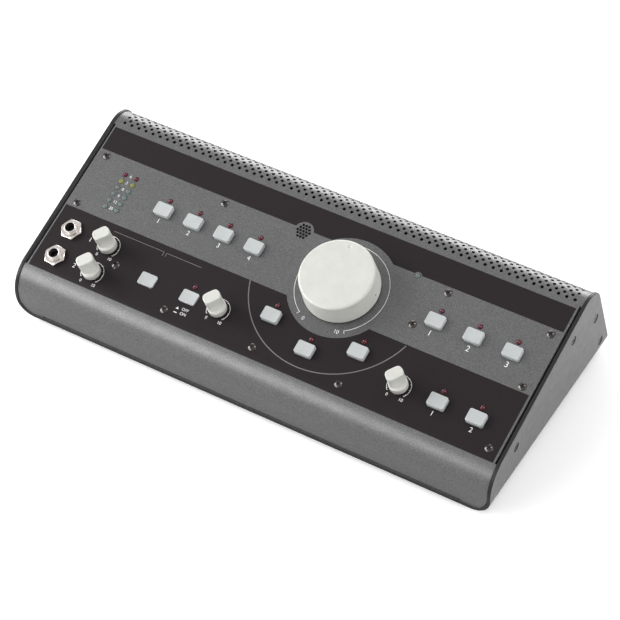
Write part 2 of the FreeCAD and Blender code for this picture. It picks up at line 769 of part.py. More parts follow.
def screws(label, frame, places, seat):
    """Cheese-headed screws. `seat` is the height of the face that their heads bear on."""
    body = new_body(label, frame, z=seat)
    sides = COUNTS["screw_sides"]
    stamp(body, pad, places, rod("screw_head_radius", sides, 180.0 / sides), "screw_head_height")
    stamp(body, pad, places, rod("screw_radius", COUNTS["shank_sides"]), "screw_length",
          flipped=True)
    return keep(body)


def panel_screws():
    return screws("panel_screws", "panel", PANEL_SCREWS, "0")


def rear_screws():
    places = [(f"{share} * ({COVER_HALF})", "hood_drop - skirt_overlap / 2")
              for share in REAR_SCREW_PLACES]
    return screws("rear_screws", "rear", places, "sheet_thickness + 0.02")


def side_screws():
    """Countersunk screws through the tray's sides into the cover's and rear panel's flanges."""
    body = new_body("side_screws", "panel")
    for side in ("-1", "1"):
        inward = side == "1"
        head = Sketch(body, "YZ_Plane", f"{side} * ({HALF_WIDTH} - 0.05)")
        for y, z in side_screw_places():
            head.regular(y, z, "side_screw_head_radius - 0.05", COUNTS["screw_sides"])
        feature = pad(head, "side_screw_head_radius - screw_radius", flipped=inward)
        feature.TaperAngle = -45.0
        stamp(body, pad, side_screw_places(), rod("screw_radius - 0.06", COUNTS["shank_sides"]),
              "screw_length - 1", plane="YZ_Plane", lift=f"{side} * ({HALF_WIDTH} - 1)",
              flipped=inward)
    return keep(body)


def hex_nuts(label, frame, places, flats, height, bore, seat="0"):
    def nut(sketch, x, y):
        sketch.regular(x, y, f"{flats} / 2 / cos(30)", 6, 30.0 if frame == "rear" else 12.0)
        sketch.regular(x, y, f"({bore} + 0.02) / cos(15)", 12)

    body = new_body(label, frame, z=seat)
    stamp(body, pad, places, nut, height)
    return keep(body)


# ---------------------------------------------------------------- boards and what stands on them


def main_board():
    """The circuit board under the panel, cut out round the headphone jacks."""
    body = new_body("main_board", "panel", z="-board_drop")
    rear = "(rear_reach - board_rear_gap)"
    front = "(board_front_gap - front_reach)"
    outline = Sketch(body).box("0", f"({rear} + {front}) / 2", "overall_width - 2 * board_side_gap",
                               f"{rear} - {front}")
    pad(outline, "board_thickness", flipped=True)
    cutouts = Sketch(body)
    for x, y in PHONES_JACKS:
        cutouts.box(x, y, "jack_width + 2 * board_clearance", "jack_width + 2 * board_clearance")
    pocket(cutouts, "4 * board_thickness", symmetric=True)
    return keep(body)


def board_standoffs():
    """Threaded hexagonal spacers between the panel and the board, one under each panel screw."""
    body = new_body("board_standoffs", "panel", z="-sheet_thickness")
    stamp(body, pad, PANEL_SCREWS, rod("spacer_flats / 2 / cos(30)", 6),
          "board_drop - sheet_thickness", flipped=True)
    stamp(body, pocket, PANEL_SCREWS, rod("screw_radius + 0.02", COUNTS["shank_sides"]),
          "screw_length - sheet_thickness + 0.5")
    return keep(body)


def switch_bodies():
    """The push switches on the board, each open at the top for its cap's stem."""
    body = new_body("switch_bodies", "panel", z=f"-{SWITCH_TOP}")
    places = list(BUTTONS.values())
    stamp(body, pad, places, block("switch_width", "switch_width"), f"board_drop - {SWITCH_TOP}",
          flipped=True)
    stamp(body, pocket, places, block("stem_width + 0.1", "stem_width + 0.1"),
          f"cap_skirt + stem_length + cap_travel + 0.2 - {SWITCH_TOP}")
    return keep(body)


def level_pots():
    """Board-mounted potentiometers whose plain bushes come up through the panel."""
    body = new_body("level_pots", "panel", z="level_bush_rise")
    places = list(LEVEL_KNOBS.values())
    neck = "level_bush_rise + sheet_thickness + pot_clearance"
    stamp(body, pad, places, rod("level_bush_radius", COUNTS["hidden_sides"]), neck, flipped=True)
    stamp(body, pad, places, block("level_pot_width", "level_pot_width"),
          "board_drop - sheet_thickness - pot_clearance", lift=f"-({neck})", flipped=True)
    stamp(body, pocket, places, disc("level_shaft_radius + shaft_gap"),
          "level_bush_rise + shaft_foot + 0.3")
    return keep(body)


def volume_pot():
    body = new_body("volume_pot", "panel", "volume_x", "volume_y", "-sheet_thickness - 0.02")
    case = Sketch(body).eased_box("0", "0", "volume_pot_width", "volume_pot_width", "3")
    pad(case, "board_drop - sheet_thickness - 0.02", flipped=True)
    bush = Sketch(body).regular("0", "0", "bush_radius", 12)
    pad(bush, "bush_rise + sheet_thickness + 0.02")
    bore = Sketch(body, lift="bush_rise + sheet_thickness + 0.02")
    bore.circle("0", "0", "shaft_radius + shaft_gap")
    pocket(bore, "bush_rise + shaft_foot + 0.3")
    return keep(body)


def lamps(label, places, radius):
    """Lamps on the board, as tall as it takes for their tops to stand just clear of the panel."""
    body = new_body(label, "panel", z="led_rise")
    stamp(body, pad, places, rod(radius, COUNTS["led_sides"]), "led_rise + board_drop",
          flipped=True)
    return keep(body)


def talkback_mic():
    body = new_body("talkback_mic", "panel", MIC_X, "mic_y", "-sheet_thickness - 0.6")
    pad(Sketch(body).regular("0", "0", "mic_radius", 12), "mic_length", flipped=True)
    return keep(body)


def mic_boot():
    """The rubber sleeve that holds the microphone against the underside of the panel."""
    body = new_body("mic_boot", "panel", MIC_X, "mic_y", "-sheet_thickness")
    ring = Sketch(body).regular("0", "0", "mic_boot_radius", 12)
    ring.regular("0", "0", "mic_radius + 0.02", 12)
    pad(ring, "mic_length + 0.6", flipped=True)
    return keep(body)


# ---------------------------------------------------------------- sockets


def jacks(label, frame, places):
    """Quarter-inch jacks: a square housing behind the panel and a threaded bush through it."""
    body = new_body(label, frame)
    stamp(body, pad, places, block("jack_width", "jack_width"),
          "jack_bore_depth + jack_back_wall - jack_rise - sheet_thickness",
          lift="-sheet_thickness", flipped=True)
    stamp(body, pad, places, rod("jack_bush_radius", 12), "jack_rise + sheet_thickness",
          lift="-sheet_thickness")
    stamp(body, pocket, places, disc("jack_bore_radius"), "jack_bore_depth", lift="jack_rise")
    return keep(body)


def rear_jack_places():
    columns = range(int(value("rear_columns")))
    return [(f"rear_first_x + {column} * rear_pitch", y)
            for y in ("rear_upper_row", "rear_lower_row") for column in columns]


def rear_board():
    """The upright board that the rear sockets are soldered to."""
    depth = "jack_bore_depth + jack_back_wall - jack_rise"
    body = new_body("rear_board", "rear", z=f"-({depth})")
    last = "rear_first_x + (rear_columns - 1) * rear_pitch"
    outline = Sketch(body).box(
        f"(rear_first_x + {last}) / 2", "(rear_upper_row + rear_lower_row) / 2",
        f"{last} - rear_first_x + 2 * jack_width", "rear_lower_row - rear_upper_row + 1.5 * jack_width")
    pad(outline, "board_thickness", flipped=True)
    return keep(body)


def phono_sockets():
    body = new_body("phono_sockets", "rear")
    stamp(body, pad, PHONOS, block("2 * phono_flange", "2 * phono_flange"), "phono_block_depth",
          lift="-sheet_thickness", flipped=True)
    stamp(body, pad, PHONOS, rod("phono_hold_radius", 12), "sheet_thickness",
          lift="-sheet_thickness")
    stamp(body, pad, PHONOS, rod("phono_flange", 12), "0.8")
    stamp(body, pad, PHONOS, disc("phono_barrel"), "phono_rise")
    stamp(body, pocket, PHONOS, rod("phono_hole", 8), "phono_rise + 3", lift="phono_rise")
    return keep(body)


def ground_post():
    """Threaded earth post with its knurled thumb nut run down on it."""
    body = new_body("ground_post", "rear", *POST, "-sheet_thickness")
    pad(Sketch(body).regular("0", "0", "post_nut_radius", 6), "3", flipped=True)
    pad(Sketch(body).regular("0", "0", "post_radius", 12), "sheet_thickness + post_rise")
    return keep(body)


def ground_nut():
    body = new_body("ground_nut", "rear", *POST)
    ring = Sketch(body).regular("0", "0", "post_nut_radius", 12)
    ring.regular("0", "0", "post_radius + 0.02", 12)
    pad(ring, "0.6 * post_rise")
    return keep(body)


def power_inlet():
    """Round inlet: a flanged collar with the insert for the plug's pins set back inside it."""
    body = new_body("power_inlet", "rear", *INLET)
    pad(Sketch(body).circle("0", "0", "inlet_radius + 1.5"), "1.2")
    pad(Sketch(body).circle("0", "0", "inlet_radius"), "inlet_depth", flipped=True)
    ring = Sketch(body, lift="1.2").circle("0", "0", "inlet_radius - 1")
    ring.circle("0", "0", "inlet_insert_radius")
    pocket(ring, "inlet_depth - 3")
    return keep(body)


def rocker_frame():
    body = new_body("rocker_frame", "rear", *ROCKER)
    wide = "rocker_width + 2 * rocker_gap"
    long = "rocker_length + 2 * rocker_gap"
    pad(Sketch(body).box("0", "0", f"{wide} + 2 * rocker_frame", f"{long} + 2 * rocker_frame"), "1.6")
    neck = Sketch(body).box("0", "0", f"{wide} + rocker_frame - 0.2", f"{long} + rocker_frame - 0.2")
    pad(neck, "rocker_depth", flipped=True)
    mouth = Sketch(body, lift="1.6").box("0", "0", wide, long)
    pocket(mouth, "rocker_depth - 0.4")
    return keep(body)


def power_rocker():
    """The rocker, leaning to its off side about the pivot at its body's origin."""
    body = new_body("power_rocker", "rear", *ROCKER)
    half = "rocker_length / 2"
    corners = [
        (f"-{half}", "2.6"), ("0", "1.3"), (half, "2.6"),
        (half, "-1.5"), (f"0.4 * {half}", "-5.5"), (f"-0.4 * {half}", "-5.5"), (f"-{half}", "-1.5"),
    ]
    lean = "rocker_lean"
    turned = [
        (f"({y}) * cos({lean}) - ({z}) * sin({lean})", f"({y}) * sin({lean}) + ({z}) * cos({lean})")
        for y, z in corners
    ]
    pad(Sketch(body, "YZ_Plane").polygon(turned), "rocker_width", symmetric=True)
    return keep(body)


# ---------------------------------------------------------------- controls


def button(name, x, y):
    """A push-button cap with the rim that keeps it in its window and the stem to its switch."""
    rest = "-latched_depth" if name in LATCHED_IN else "0"
    body = new_body(name, "panel", x, y, rest)
    block = Sketch(body, lift="-cap_skirt").box("0", "0", "cap_width", "cap_depth")
    pad(block, "cap_rise + cap_skirt")
    dress(body, "Chamfer", "0.6 * cap_corner", lambda middle, ends: abs(ends.z) > 1)
    top = value("cap_rise")
    dress(body, "Chamfer", "cap_edge", lambda middle, ends: near(middle.z, top))
    rim = Sketch(body, lift="-cap_skirt")
    rim.box("0", "0", "cap_width + 2 * cap_rim", "cap_depth + 2 * cap_rim")
    pad(rim, "cap_rim")
    stem = Sketch(body, lift="-cap_skirt").box("0", "0", "stem_width", "stem_width")
    pad(stem, "stem_length", flipped=True)
    return keep(body)


def level_knob(name, x, y):
    """A round skirt with a tall grip bar, scooped on both sides and marked at its pointer end."""
    body = new_body(name, "panel", x, y, "knob_lift")
    body.Placement.Rotation = body.Placement.Rotation.multiply(
        Rotation(Vector(0, 0, 1), value("rest_turn")))
    bore_top = "level_shaft_top - knob_lift + 0.1"
    profile = Sketch(body, "XZ_Plane").polygon([
        ("level_shaft_radius + shaft_gap", "0"), ("skirt_radius", "0"),
        ("skirt_radius", "skirt_height - 0.8"),
        ("grip_radius", "skirt_height"), ("grip_top_radius", "grip_height"), ("0", "grip_height"),
        ("0", bore_top), ("level_shaft_radius + shaft_gap", bore_top),
    ])
    revolve(profile)
    far = "2 * skirt_radius"
    foot = "skirt_height"
    for side in ("-1", "1"):
        scoop = Sketch(body, "YZ_Plane").polygon([
            (f"{side} * grip_half_width", "grip_height + 1"),
            (f"{side} * (grip_half_width - grip_waist)", f"{foot} + 2"),
            (f"{side} * (grip_half_width - grip_waist + 0.25)", f"{foot} + 0.9"),
            (f"{side} * (grip_half_width - grip_waist + 1.1)", foot),
            (f"{side} * {far}", foot), (f"{side} * {far}", "grip_height + 1"),
        ])
        pocket(scoop, "4 * skirt_radius", symmetric=True)
    mark = Sketch(body, lift="grip_height")
    mark.regular("grip_top_radius - 1.5 * grip_dimple - 0.6", "0", "grip_dimple", 6)
    pocket(mark, "0.5")
    return keep(body)


def big_knob():
    """The volume knob: a hollow drum with a rounded rim, a hub for the shaft and a dimple."""
    body = new_body("big_knob", "panel", "volume_x", "volume_y")
    bore_top = "volume_shaft_top + 0.1"
    hub_low = "bush_rise + 1"
    roof = "knob_height - knob_roof"
    inner = "knob_radius - knob_wall"
    rim = [
        (f"knob_top_radius - knob_rim * (1 - cos({angle}))",
         f"knob_height - knob_rim * (1 - sin({angle}))")
        for angle in (0, 30, 60, 90)
    ]
    profile = Sketch(body, "XZ_Plane").polygon([
        (inner, "knob_lift"), ("knob_radius", "knob_lift"), *rim,
        ("0", "knob_height"), ("0", bore_top), ("shaft_radius + shaft_gap", bore_top),
        ("shaft_radius + shaft_gap", hub_low), ("hub_radius", hub_low), ("hub_radius", roof),
        (inner, roof),
    ])
    revolve(profile)
    mark = Sketch(body, lift="knob_height")
    mark.regular("-knob_mark_shift", "knob_mark_reach", "knob_dimple", 12)
    pocket(mark, "0.7")
    return keep(body)


def shaft(name, x, y, radius, top):
    body = new_body(name, "panel", x, y, "-shaft_foot")
    pad(Sketch(body).circle("0", "0", radius), f"{top} + shaft_foot")
    return keep(body)


# ---------------------------------------------------------------- whole


def build():
    fill_sheet()
    tray()
    top_cover()
    rear_panel()
    feet()
    panel_screws()
    rear_screws()
    side_screws()
    main_board()
    board_standoffs()
    rear_board()
    switch_bodies()
    level_pots()
    volume_pot()
    hex_nuts("volume_pot_nut", "panel", [("volume_x", "volume_y")], "pot_nut_flats", "nut_height",
             "bush_radius")
    jacks("phones_jacks", "panel", PHONES_JACKS)
    hex_nuts("phones_jack_nuts", "panel", PHONES_JACKS, "jack_nut_flats", "jack_nut_height",
             "jack_bush_radius")
    jacks("rear_jacks", "rear", rear_jack_places())
    hex_nuts("rear_jack_nuts", "rear", rear_jack_places(), "jack_nut_flats", "jack_nut_height",
             "jack_bush_radius")
    phono_sockets()
    ground_post()
    ground_nut()
    power_inlet()
    rocker_frame()
    power_rocker()
    lamps("status_leds", status_led_places(), "led_radius")
    lamps("power_led", [POWER_LED], "led_radius")
    lamps("meter_leds_red", meter_places(0, 1), "meter_led_radius")
    lamps("meter_leds_yellow", meter_places(1, 2), "meter_led_radius")
    lamps("meter_leds_green", meter_places(2, 6), "meter_led_radius")
    talkback_mic()
    mic_boot()
    for name, (x, y) in BUTTONS.items():
        button(name, x, y)
    for name, (x, y) in LEVEL_KNOBS.items():
        level_knob(name, x, y)
        shaft(name.replace("knob", "shaft"), x, y, "level_shaft_radius", "level_shaft_top")
    big_knob()
    shaft("volume_shaft", "volume_x", "volume_y", "shaft_radius", "volume_shaft_top")


def check_and_export():
    document.recompute()
    for item in document.Objects:
        if "Invalid" in item.State or "Error" in item.State:
            raise RuntimeError(f"{item.Label}: {item.State}")
    for item in parts:
        if item.Shape.isNull() or not item.Shape.isValid():
            raise RuntimeError(f"{item.Label}: no valid shape")
    os.makedirs("parts", exist_ok=True)
    for item in parts:
        item.Shape.exportStep(f"parts/{item.Label}.step")
        print(item.Label, len(item.Shape.Solids), round(item.Shape.Volume, 1))


build()
check_and_export()
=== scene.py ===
"""Looks for the studio monitor controller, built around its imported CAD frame.

Lengths are millimetres until a mesh is placed, and then metres in the row frame. The panel frame
has its origin at the middle of the printed area, x to the right, y up the slope and z out of the
panel. The bent cover is drawn flat, as (x, s) with s the arc length up the slope, and then bent.
"""

import json
from math import ceil, cos, pi, radians, sin, tan

import bmesh
import bpy
import numpy as np
from mathutils import Matrix, Vector
from mathutils.geometry import delaunay_2d_cdt

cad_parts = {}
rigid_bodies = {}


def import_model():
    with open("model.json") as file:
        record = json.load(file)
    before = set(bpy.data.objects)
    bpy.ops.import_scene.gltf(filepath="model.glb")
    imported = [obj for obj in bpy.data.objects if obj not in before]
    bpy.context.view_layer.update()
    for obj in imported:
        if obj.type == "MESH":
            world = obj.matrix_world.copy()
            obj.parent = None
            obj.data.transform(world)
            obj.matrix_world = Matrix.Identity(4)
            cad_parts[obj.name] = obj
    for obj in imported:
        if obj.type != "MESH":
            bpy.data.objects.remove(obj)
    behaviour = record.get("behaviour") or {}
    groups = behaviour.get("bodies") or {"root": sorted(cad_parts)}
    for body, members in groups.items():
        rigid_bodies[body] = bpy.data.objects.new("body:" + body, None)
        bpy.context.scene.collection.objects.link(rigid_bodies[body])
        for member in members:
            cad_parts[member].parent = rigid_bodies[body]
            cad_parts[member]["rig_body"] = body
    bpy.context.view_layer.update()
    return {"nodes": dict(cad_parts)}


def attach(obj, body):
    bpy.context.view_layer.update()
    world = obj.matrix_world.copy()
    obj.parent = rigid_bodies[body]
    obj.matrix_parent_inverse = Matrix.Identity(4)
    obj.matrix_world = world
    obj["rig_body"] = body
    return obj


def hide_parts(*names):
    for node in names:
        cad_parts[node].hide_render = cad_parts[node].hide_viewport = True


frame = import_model()
NODES = frame["nodes"]

# -------- sizes, in millimetres

MM = 0.001
TILT = radians(18.4)
PANEL_Y, PANEL_Z = -17.689, 61.0    # the panel frame's origin in the row frame
REAR_FACE = 80.58    # the rear panel's outer face, up the slope
SKIRT_FACE = 1.22    # and the hood's skirt on top of it
HALF_WIDTH = 190.5

SHEET = 1.2
NOSE_RADIUS, NOSE_TURN = 23.2, radians(90) - TILT
HOOD_RADIUS, HOOD_TURN = 17.0, radians(90)
COVER_FRONT, COVER_REAR = 70.0, 81.8
FLAT_FRONT = NOSE_RADIUS * tan(NOSE_TURN / 2) - COVER_FRONT / cos(TILT)
FLAT_REAR = COVER_REAR - HOOD_RADIUS
NOSE_END = FLAT_FRONT - NOSE_RADIUS * NOSE_TURN
COVER_LOW = NOSE_END - 14.68
HOOD_END = FLAT_REAR + HOOD_RADIUS * HOOD_TURN
SKIRT_SCREWS, SKIRT_END = HOOD_END + 2.5, HOOD_END + 6.0
COVER_HALF, PANEL_HALF = 187.7, 186.6
PANEL_FOLD, FOLD_DROP = 1.2, 18.0
NOTCH_FRONT, NOTCH_REAR = -60.8, 63.0
LIP_HALF, LIP_HEIGHT, LIP_CORNER = 168.5, 1.4, 11.5

VENT_PITCH, VENT_STEP, VENT_ROWS, VENT_RADIUS = 6.13, 3.06, 9, 1.25
VENT_FIRST, VENT_COLUMNS, VENT_SHIFT = FLAT_REAR + 1.6, 60, 0.5

TRAY, TRAY_BEND, TRAY_FLOOR = 2.5, 14.0, -57.5
TRAY_FRONT, TRAY_REAR, TRAY_STEP = -70.8, 82.6, 0.8
TRAY_FLAT = HALF_WIDTH - TRAY_BEND    # half the floor's flat width
TRAY_WALL = TRAY_FLAT + TRAY_BEND * pi / 2

CAP_WIDTH, CAP_DEPTH, CAP_CORNER = 12.7, 9.5, 1.3
WINDOW_GAP, WINDOW_CORNER = 0.35, 1.2
JACK_HOLE, KNOB_HOLE, DIAL_HOLE = 4.75, 4.05, 4.6
SCREW_HOLE, SIDE_SCREW_HOLE = 1.65, 3.05
LATCHED_IN, LATCHED_DEPTH = ("phones_source_button", "studio_button"), 2.5
LED_RADIUS, LED_GAP = 1.9, 0.12
FOOT_HEIGHT, SCREW_SINK = 3.5, 0.95
NUT_FLATS, NUT_HEIGHT, BUSH_RADIUS, JACK_BORE, JACK_FLOOR = 14.4, 2.4, 4.6, 3.45, -19.0
MIC_ROWS, MIC_PITCH, MIC_STEP, MIC_HOLE = (3, 4, 5, 4, 3), 2.33, 2.23, 1.04
KNOB_TURN = radians(-128.4)

PRINT_HALF, PRINT_EDGE = 185.0, 60.8
BAND_LOW, ZONE_TOP = 41.5, -8.5
DIAL_CLEAR, DIAL_RING, DIAL_ARC = 38.3, 33.2, 65.1
MIC_CLEAR, POWER_CLEAR = 7.4, 3.0
INK = 0.03    # how high a print stands on the paint

# -------- studio, in metres

LENS, SENSOR = 134.26, 36.0    # these two in millimetres
CAMERA_PLACE = (0.6135, -0.9320, 1.1935)
CAMERA_AXES = (    # right, up and back
    (0.85492, 0.51755, -0.03536),
    (-0.35469, 0.63292, 0.68819),
    (0.37855, -0.57581, 0.72466),
)
FLOOR_HALF, FLOOR_GLOW, SURROUND = 1.6, 0.3, 0.23
LIGHT_AIM = (0, 0, 0.05)
LIGHTS = (    # name, place, width and height, watts
    ("left", (-1.9, -0.5, 1.05), (1.1, 1.0), 34),
    ("key", (-1.1, -1.5, 1.1), (1.6, 0.9), 25),
    ("right", (1.7, 0.2, 0.7), (0.9, 1.1), 16),
    ("back", (-0.6, 1.6, 0.5), (1.6, 0.9), 24),
    ("top", (0.6, 0.7, 1.8), (0.6, 0.6), 7),
)

# -------- frames and places

UPRIGHT = Matrix.Scale(MM, 4) @ Matrix.Translation((0, PANEL_Y, PANEL_Z))
PANEL = UPRIGHT @ Matrix.Rotation(TILT, 4, "X")
REAR = PANEL @ Matrix.Translation((0, REAR_FACE, 0)) @ Matrix.Rotation(radians(-90), 4, "X")


def spots(node, place=PANEL):
    """The middles of a CAD node's separate solids in one of the frames, from left to right."""
    mesh = bmesh.new()
    mesh.from_mesh(NODES[node].data)
    bmesh.ops.remove_doubles(mesh, verts=mesh.verts, dist=1e-5)
    back = place.inverted()
    unseen = set(mesh.verts)
    middles = []
    while unseen:
        heap, island = [unseen.pop()], []
        while heap:
            vertex = heap.pop()
            island.append(back @ vertex.co)
            for edge in vertex.link_edges:
                other = edge.other_vert(vertex)
                if other in unseen:
                    unseen.remove(other)
                    heap.append(other)
        middles.append(tuple((min(axis) + max(axis)) / 2 for axis in zip(*island)))
    mesh.free()
    return sorted(middles, key=lambda middle: (round(middle[0]), round(middle[1])))


def spot(node):
    """The middle of a one-solid node on the panel."""
    return spots(node)[0][:2]


BUTTONS = [node for node in NODES if "_button" in node]
KNOBS = ["phones_knob_1", "phones_knob_2", "studio_knob", "talkback_knob"]
METER = ["meter_leds_red", "meter_leds_yellow", "meter_leds_green"]
LAMPS = ["status_leds", "power_led", *METER]
DIAL = spot("big_knob")
MIC = tuple(Vector(spot("talkback_mic")) + Vector((-0.7, 0.2)))    # the grille's middle
POWER_LED = spot("power_led")

# -------- outlines

SQUARE = ((-1, -1), (1, -1), (1, 1), (-1, 1))


def circle(x, y, radius, sides):
    """The outline of a circle, from its right-hand end on."""
    angles = [2 * pi * index / sides for index in range(sides)]
    return [(x + radius * cos(angle), y + radius * sin(angle)) for angle in angles]


def rounded(corners, radii, step=1.0, pieces=0):
    """A closed outline whose corners are arcs, in chords of about `step` or in so many pieces.
    Each corner has its own radius, 0 for a sharp one."""
    outline = []
    count = len(corners)
    for index, radius in enumerate(radii):
        here = Vector(corners[index])
        back = (Vector(corners[index - 1]) - here).normalized()
        ahead = (Vector(corners[(index + 1) % count]) - here).normalized()
        half = back.angle(ahead) / 2
        if radius <= 0 or half > radians(89.5):
            outline.append(tuple(here))
            continue
        centre = here + (back + ahead).normalized() * radius / sin(half)
        start = here + back * radius / tan(half) - centre
        swing = pi - 2 * half
        sign = 1 if back.cross(ahead) < 0 else -1
        chords = pieces or max(3, ceil(radius * swing / step))
        for chord in range(chords + 1):
            spun = Matrix.Rotation(sign * swing * chord / chords, 2) @ start
            outline.append(tuple(centre + spun))
    return outline


def rounded_box(x, y, width, depth, corner):
    """The outline of a rectangle round (x, y)."""
    right, high = width / 2, depth / 2
    return rounded([(x + a * right, y + b * high) for a, b in SQUARE], [corner] * 4, pieces=4)


def band(x, y, radius, width, start, swing, sides):
    """The outline of an arc of a flat ring, from the angle `start` on."""
    angles = [start + swing * index / sides for index in range(sides + 1)]
    rim = [(radius + width / 2, a) for a in angles] + [(radius - width / 2, a) for a in reversed(angles)]
    return [(x + reach * cos(a), y + reach * sin(a)) for reach, a in rim]


def stroke(start, end, width):
    """The outline of a straight line of some width."""
    first, last = Vector(start), Vector(end)
    along = (last - first).normalized() * width / 2
    across = Vector((-along.y, along.x))
    return [tuple(point) for point in (first - across, last - across, last + across, first + across)]


def tick(x, y, angle, inner, outer, width):
    """The outline of a short mark that points at (x, y) from the direction `angle`."""
    way = Vector((cos(angle), sin(angle)))
    return stroke(Vector((x, y)) + way * inner, Vector((x, y)) + way * outer, width)


def inside(points, outline):
    """Which of the points lie inside a closed outline."""
    corners = np.array(outline)
    near = np.all((points >= corners.min(0)) & (points <= corners.max(0)), axis=1)
    x, y = points[near].T[:, :, None]
    (x1, y1), (x2, y2) = corners.T, np.roll(corners, -1, axis=0).T
    with np.errstate(divide="ignore", invalid="ignore"):
        crossing = x1 + (y - y1) * (x2 - x1) / (y2 - y1)
    result = np.zeros(len(points), bool)
    result[near] = (((y1 > y) != (y2 > y)) & (x < crossing)).sum(1) % 2 == 1
    return result


def fill(outlines, holes=(), cuts=()):
    """Triangles that cover the outlines but not the holes. Cuts are straight lines, from point to
    point, that no triangle crosses."""
    points, edges = [], []
    for line in (*outlines, *holes, *cuts):
        first, size = len(points), len(line)
        points += [Vector(point) for point in line]
        edges += [(first + k, first + (k + 1) % size) for k in range(size if size > 2 else 1)]
    spread, _, faces, *_ = delaunay_2d_cdt(points, edges, [], 0, 1e-5)
    spread = np.array([tuple(point) for point in spread])
    faces = np.array([face for face in faces if len(face) == 3])
    middles = spread[faces].mean(1)
    wanted = np.zeros(len(faces), bool)
    for loop in outlines:
        wanted |= inside(middles, loop)
    for loop in holes:
        wanted &= ~inside(middles, loop)
    used, faces = np.unique(faces[wanted], return_inverse=True)
    return spread[used], faces.reshape(-1, 3)


# -------- meshes


def linked(name, data):
    """A new object in the scene."""
    made = bpy.data.objects.new(name, data)
    bpy.context.scene.collection.objects.link(made)
    return made


class Shape:
    """Points and faces in one local frame, in millimetres, each face with a finish and normals."""

    def __init__(self):
        self.points, self.faces, self.finishes, self.normals = [], [], [], []

    def add(self, points, faces, finish=0, normals=None):
        """Take in points and faces, each face with a normal for each corner if any are given."""
        first = len(self.points)
        self.points += [tuple(point) for point in points]
        self.faces += [[first + corner for corner in face] for face in faces]
        self.finishes += [finish] * len(faces)
        self.normals += normals or [None] * len(faces)
        return self

    def lathe(self, profile, sides, x=0.0, y=0.0, finish=0):
        """Turn a profile of (radius, height) about the upright through (x, y), from its foot up."""
        points, rows = [], []
        for radius, height in profile:
            ring = circle(x, y, radius, sides) if radius > 1e-6 else [(x, y)]
            rows.append(list(range(len(points), len(points) + len(ring))))
            points += [(px, py, height) for px, py in ring]
        return self.add(points, self.skin(rows), finish)

    def stack(self, rings, finish=0, closed=True):
        """Join rings of equal length one above the other, each a list of (x, y, z)."""
        count = len(rings[0])
        points = [point for ring in rings for point in ring]
        rows = [list(range(level * count, (level + 1) * count)) for level in range(len(rings))]
        faces = self.skin(rows)
        if closed:
            faces += [rows[-1], rows[0][::-1]]
        return self.add(points, faces, finish)

    @staticmethod
    def skin(rows):
        """The faces between rows of corners. A row of one corner makes a point."""
        faces = []
        for low, high in zip(rows, rows[1:]):
            for k in range(max(len(low), len(high))):
                loop = [low[k % len(low)], low[(k + 1) % len(low)],
                        high[(k + 1) % len(high)], high[k % len(high)]]
                loop = list(dict.fromkeys(loop))
                if len(loop) > 2:
                    faces.append(loop)
        return faces

    def prism(self, x, y, width, depth, corner, levels, finish=0):
        """A rounded box in rings, one for each (inset, height), closed at both ends."""
        rings = []
        for inset, height in levels:
            outline = rounded_box(x, y, width - 2 * inset, depth - 2 * inset, max(corner - inset, 0.15))
            rings.append([(px, py, height) for px, py in outline])
        return self.stack(rings, finish)

    def join(self, made, place, spin=Matrix.Identity(3)):
        """Copy another shape into this one, turned by `spin` and then shifted to `place`."""
        first = len(self.points)
        self.points += [tuple(spin @ Vector(point) + Vector(place)) for point in made.points]
        self.faces += [[first + corner for corner in face] for face in made.faces]
        self.finishes += made.finishes
        for normals in made.normals:
            self.normals.append(normals and [tuple(spin @ Vector(normal)) for normal in normals])

    def piece(self, name, materials, *nodes, slot, place=PANEL, sharp=35):
        """Make the Blender object, in metres in the row frame. It stands for the CAD nodes and
        rides their body, or the chassis."""
        mesh = bpy.data.meshes.new(name)
        mesh.from_pydata(self.points, [], self.faces)
        for material in materials:
            mesh.materials.append(material)
        mesh.polygons.foreach_set("material_index", self.finishes)
        mesh.shade_smooth()
        mesh.set_sharp_from_angle(angle=radians(sharp))
        if any(self.normals):
            found = [tuple(corner.vector) for corner in mesh.corner_normals]
            for polygon, given in zip(mesh.polygons, self.normals):
                if given:
                    found[polygon.loop_start:polygon.loop_start + polygon.loop_total] = given
            mesh.normals_split_custom_set(found)
        mesh.transform(place)
        made = linked(name, mesh)
        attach(made, NODES[nodes[0]]["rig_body"] if nodes else "chassis")
        if nodes:
            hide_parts(*nodes)


def bend(x, s, height=0.0):
    """A point of the unrolled cover, bent to its place in the panel frame, and its normal."""
    if s < FLAT_FRONT:
        side, start, radius, turn = -1, FLAT_FRONT, NOSE_RADIUS, NOSE_TURN
    elif s > FLAT_REAR:
        side, start, radius, turn = 1, FLAT_REAR, HOOD_RADIUS, HOOD_TURN
    else:
        return (x, s, height), (0, 0, 1)
    reach = abs(s - start)
    angle = min(reach / radius, turn)
    past = reach - angle * radius
    y = start + side * ((radius + height) * sin(angle) + past * cos(angle))
    z = -radius + (radius + height) * cos(angle) - past * sin(angle)
    return (x, y, z), (0, side * sin(angle), cos(angle))


def flat(x, y, height=0.0):
    """The flat surface z = 0 for `sheet`."""
    return (x, y, height), (0, 0, 1)


def rim_edges(faces, points, up):
    """The edges along a sheet's rims, each with the way that leads off the sheet there."""
    once = {}
    for face in faces:
        a, b, c = map(int, face)
        for edge in ((a, b), (b, c), (c, a)):
            if edge[::-1] in once:
                del once[edge[::-1]]
            else:
                once[edge] = (points[edge[1]] - points[edge[0]]).cross(up[edge[0]]).normalized()
    return once


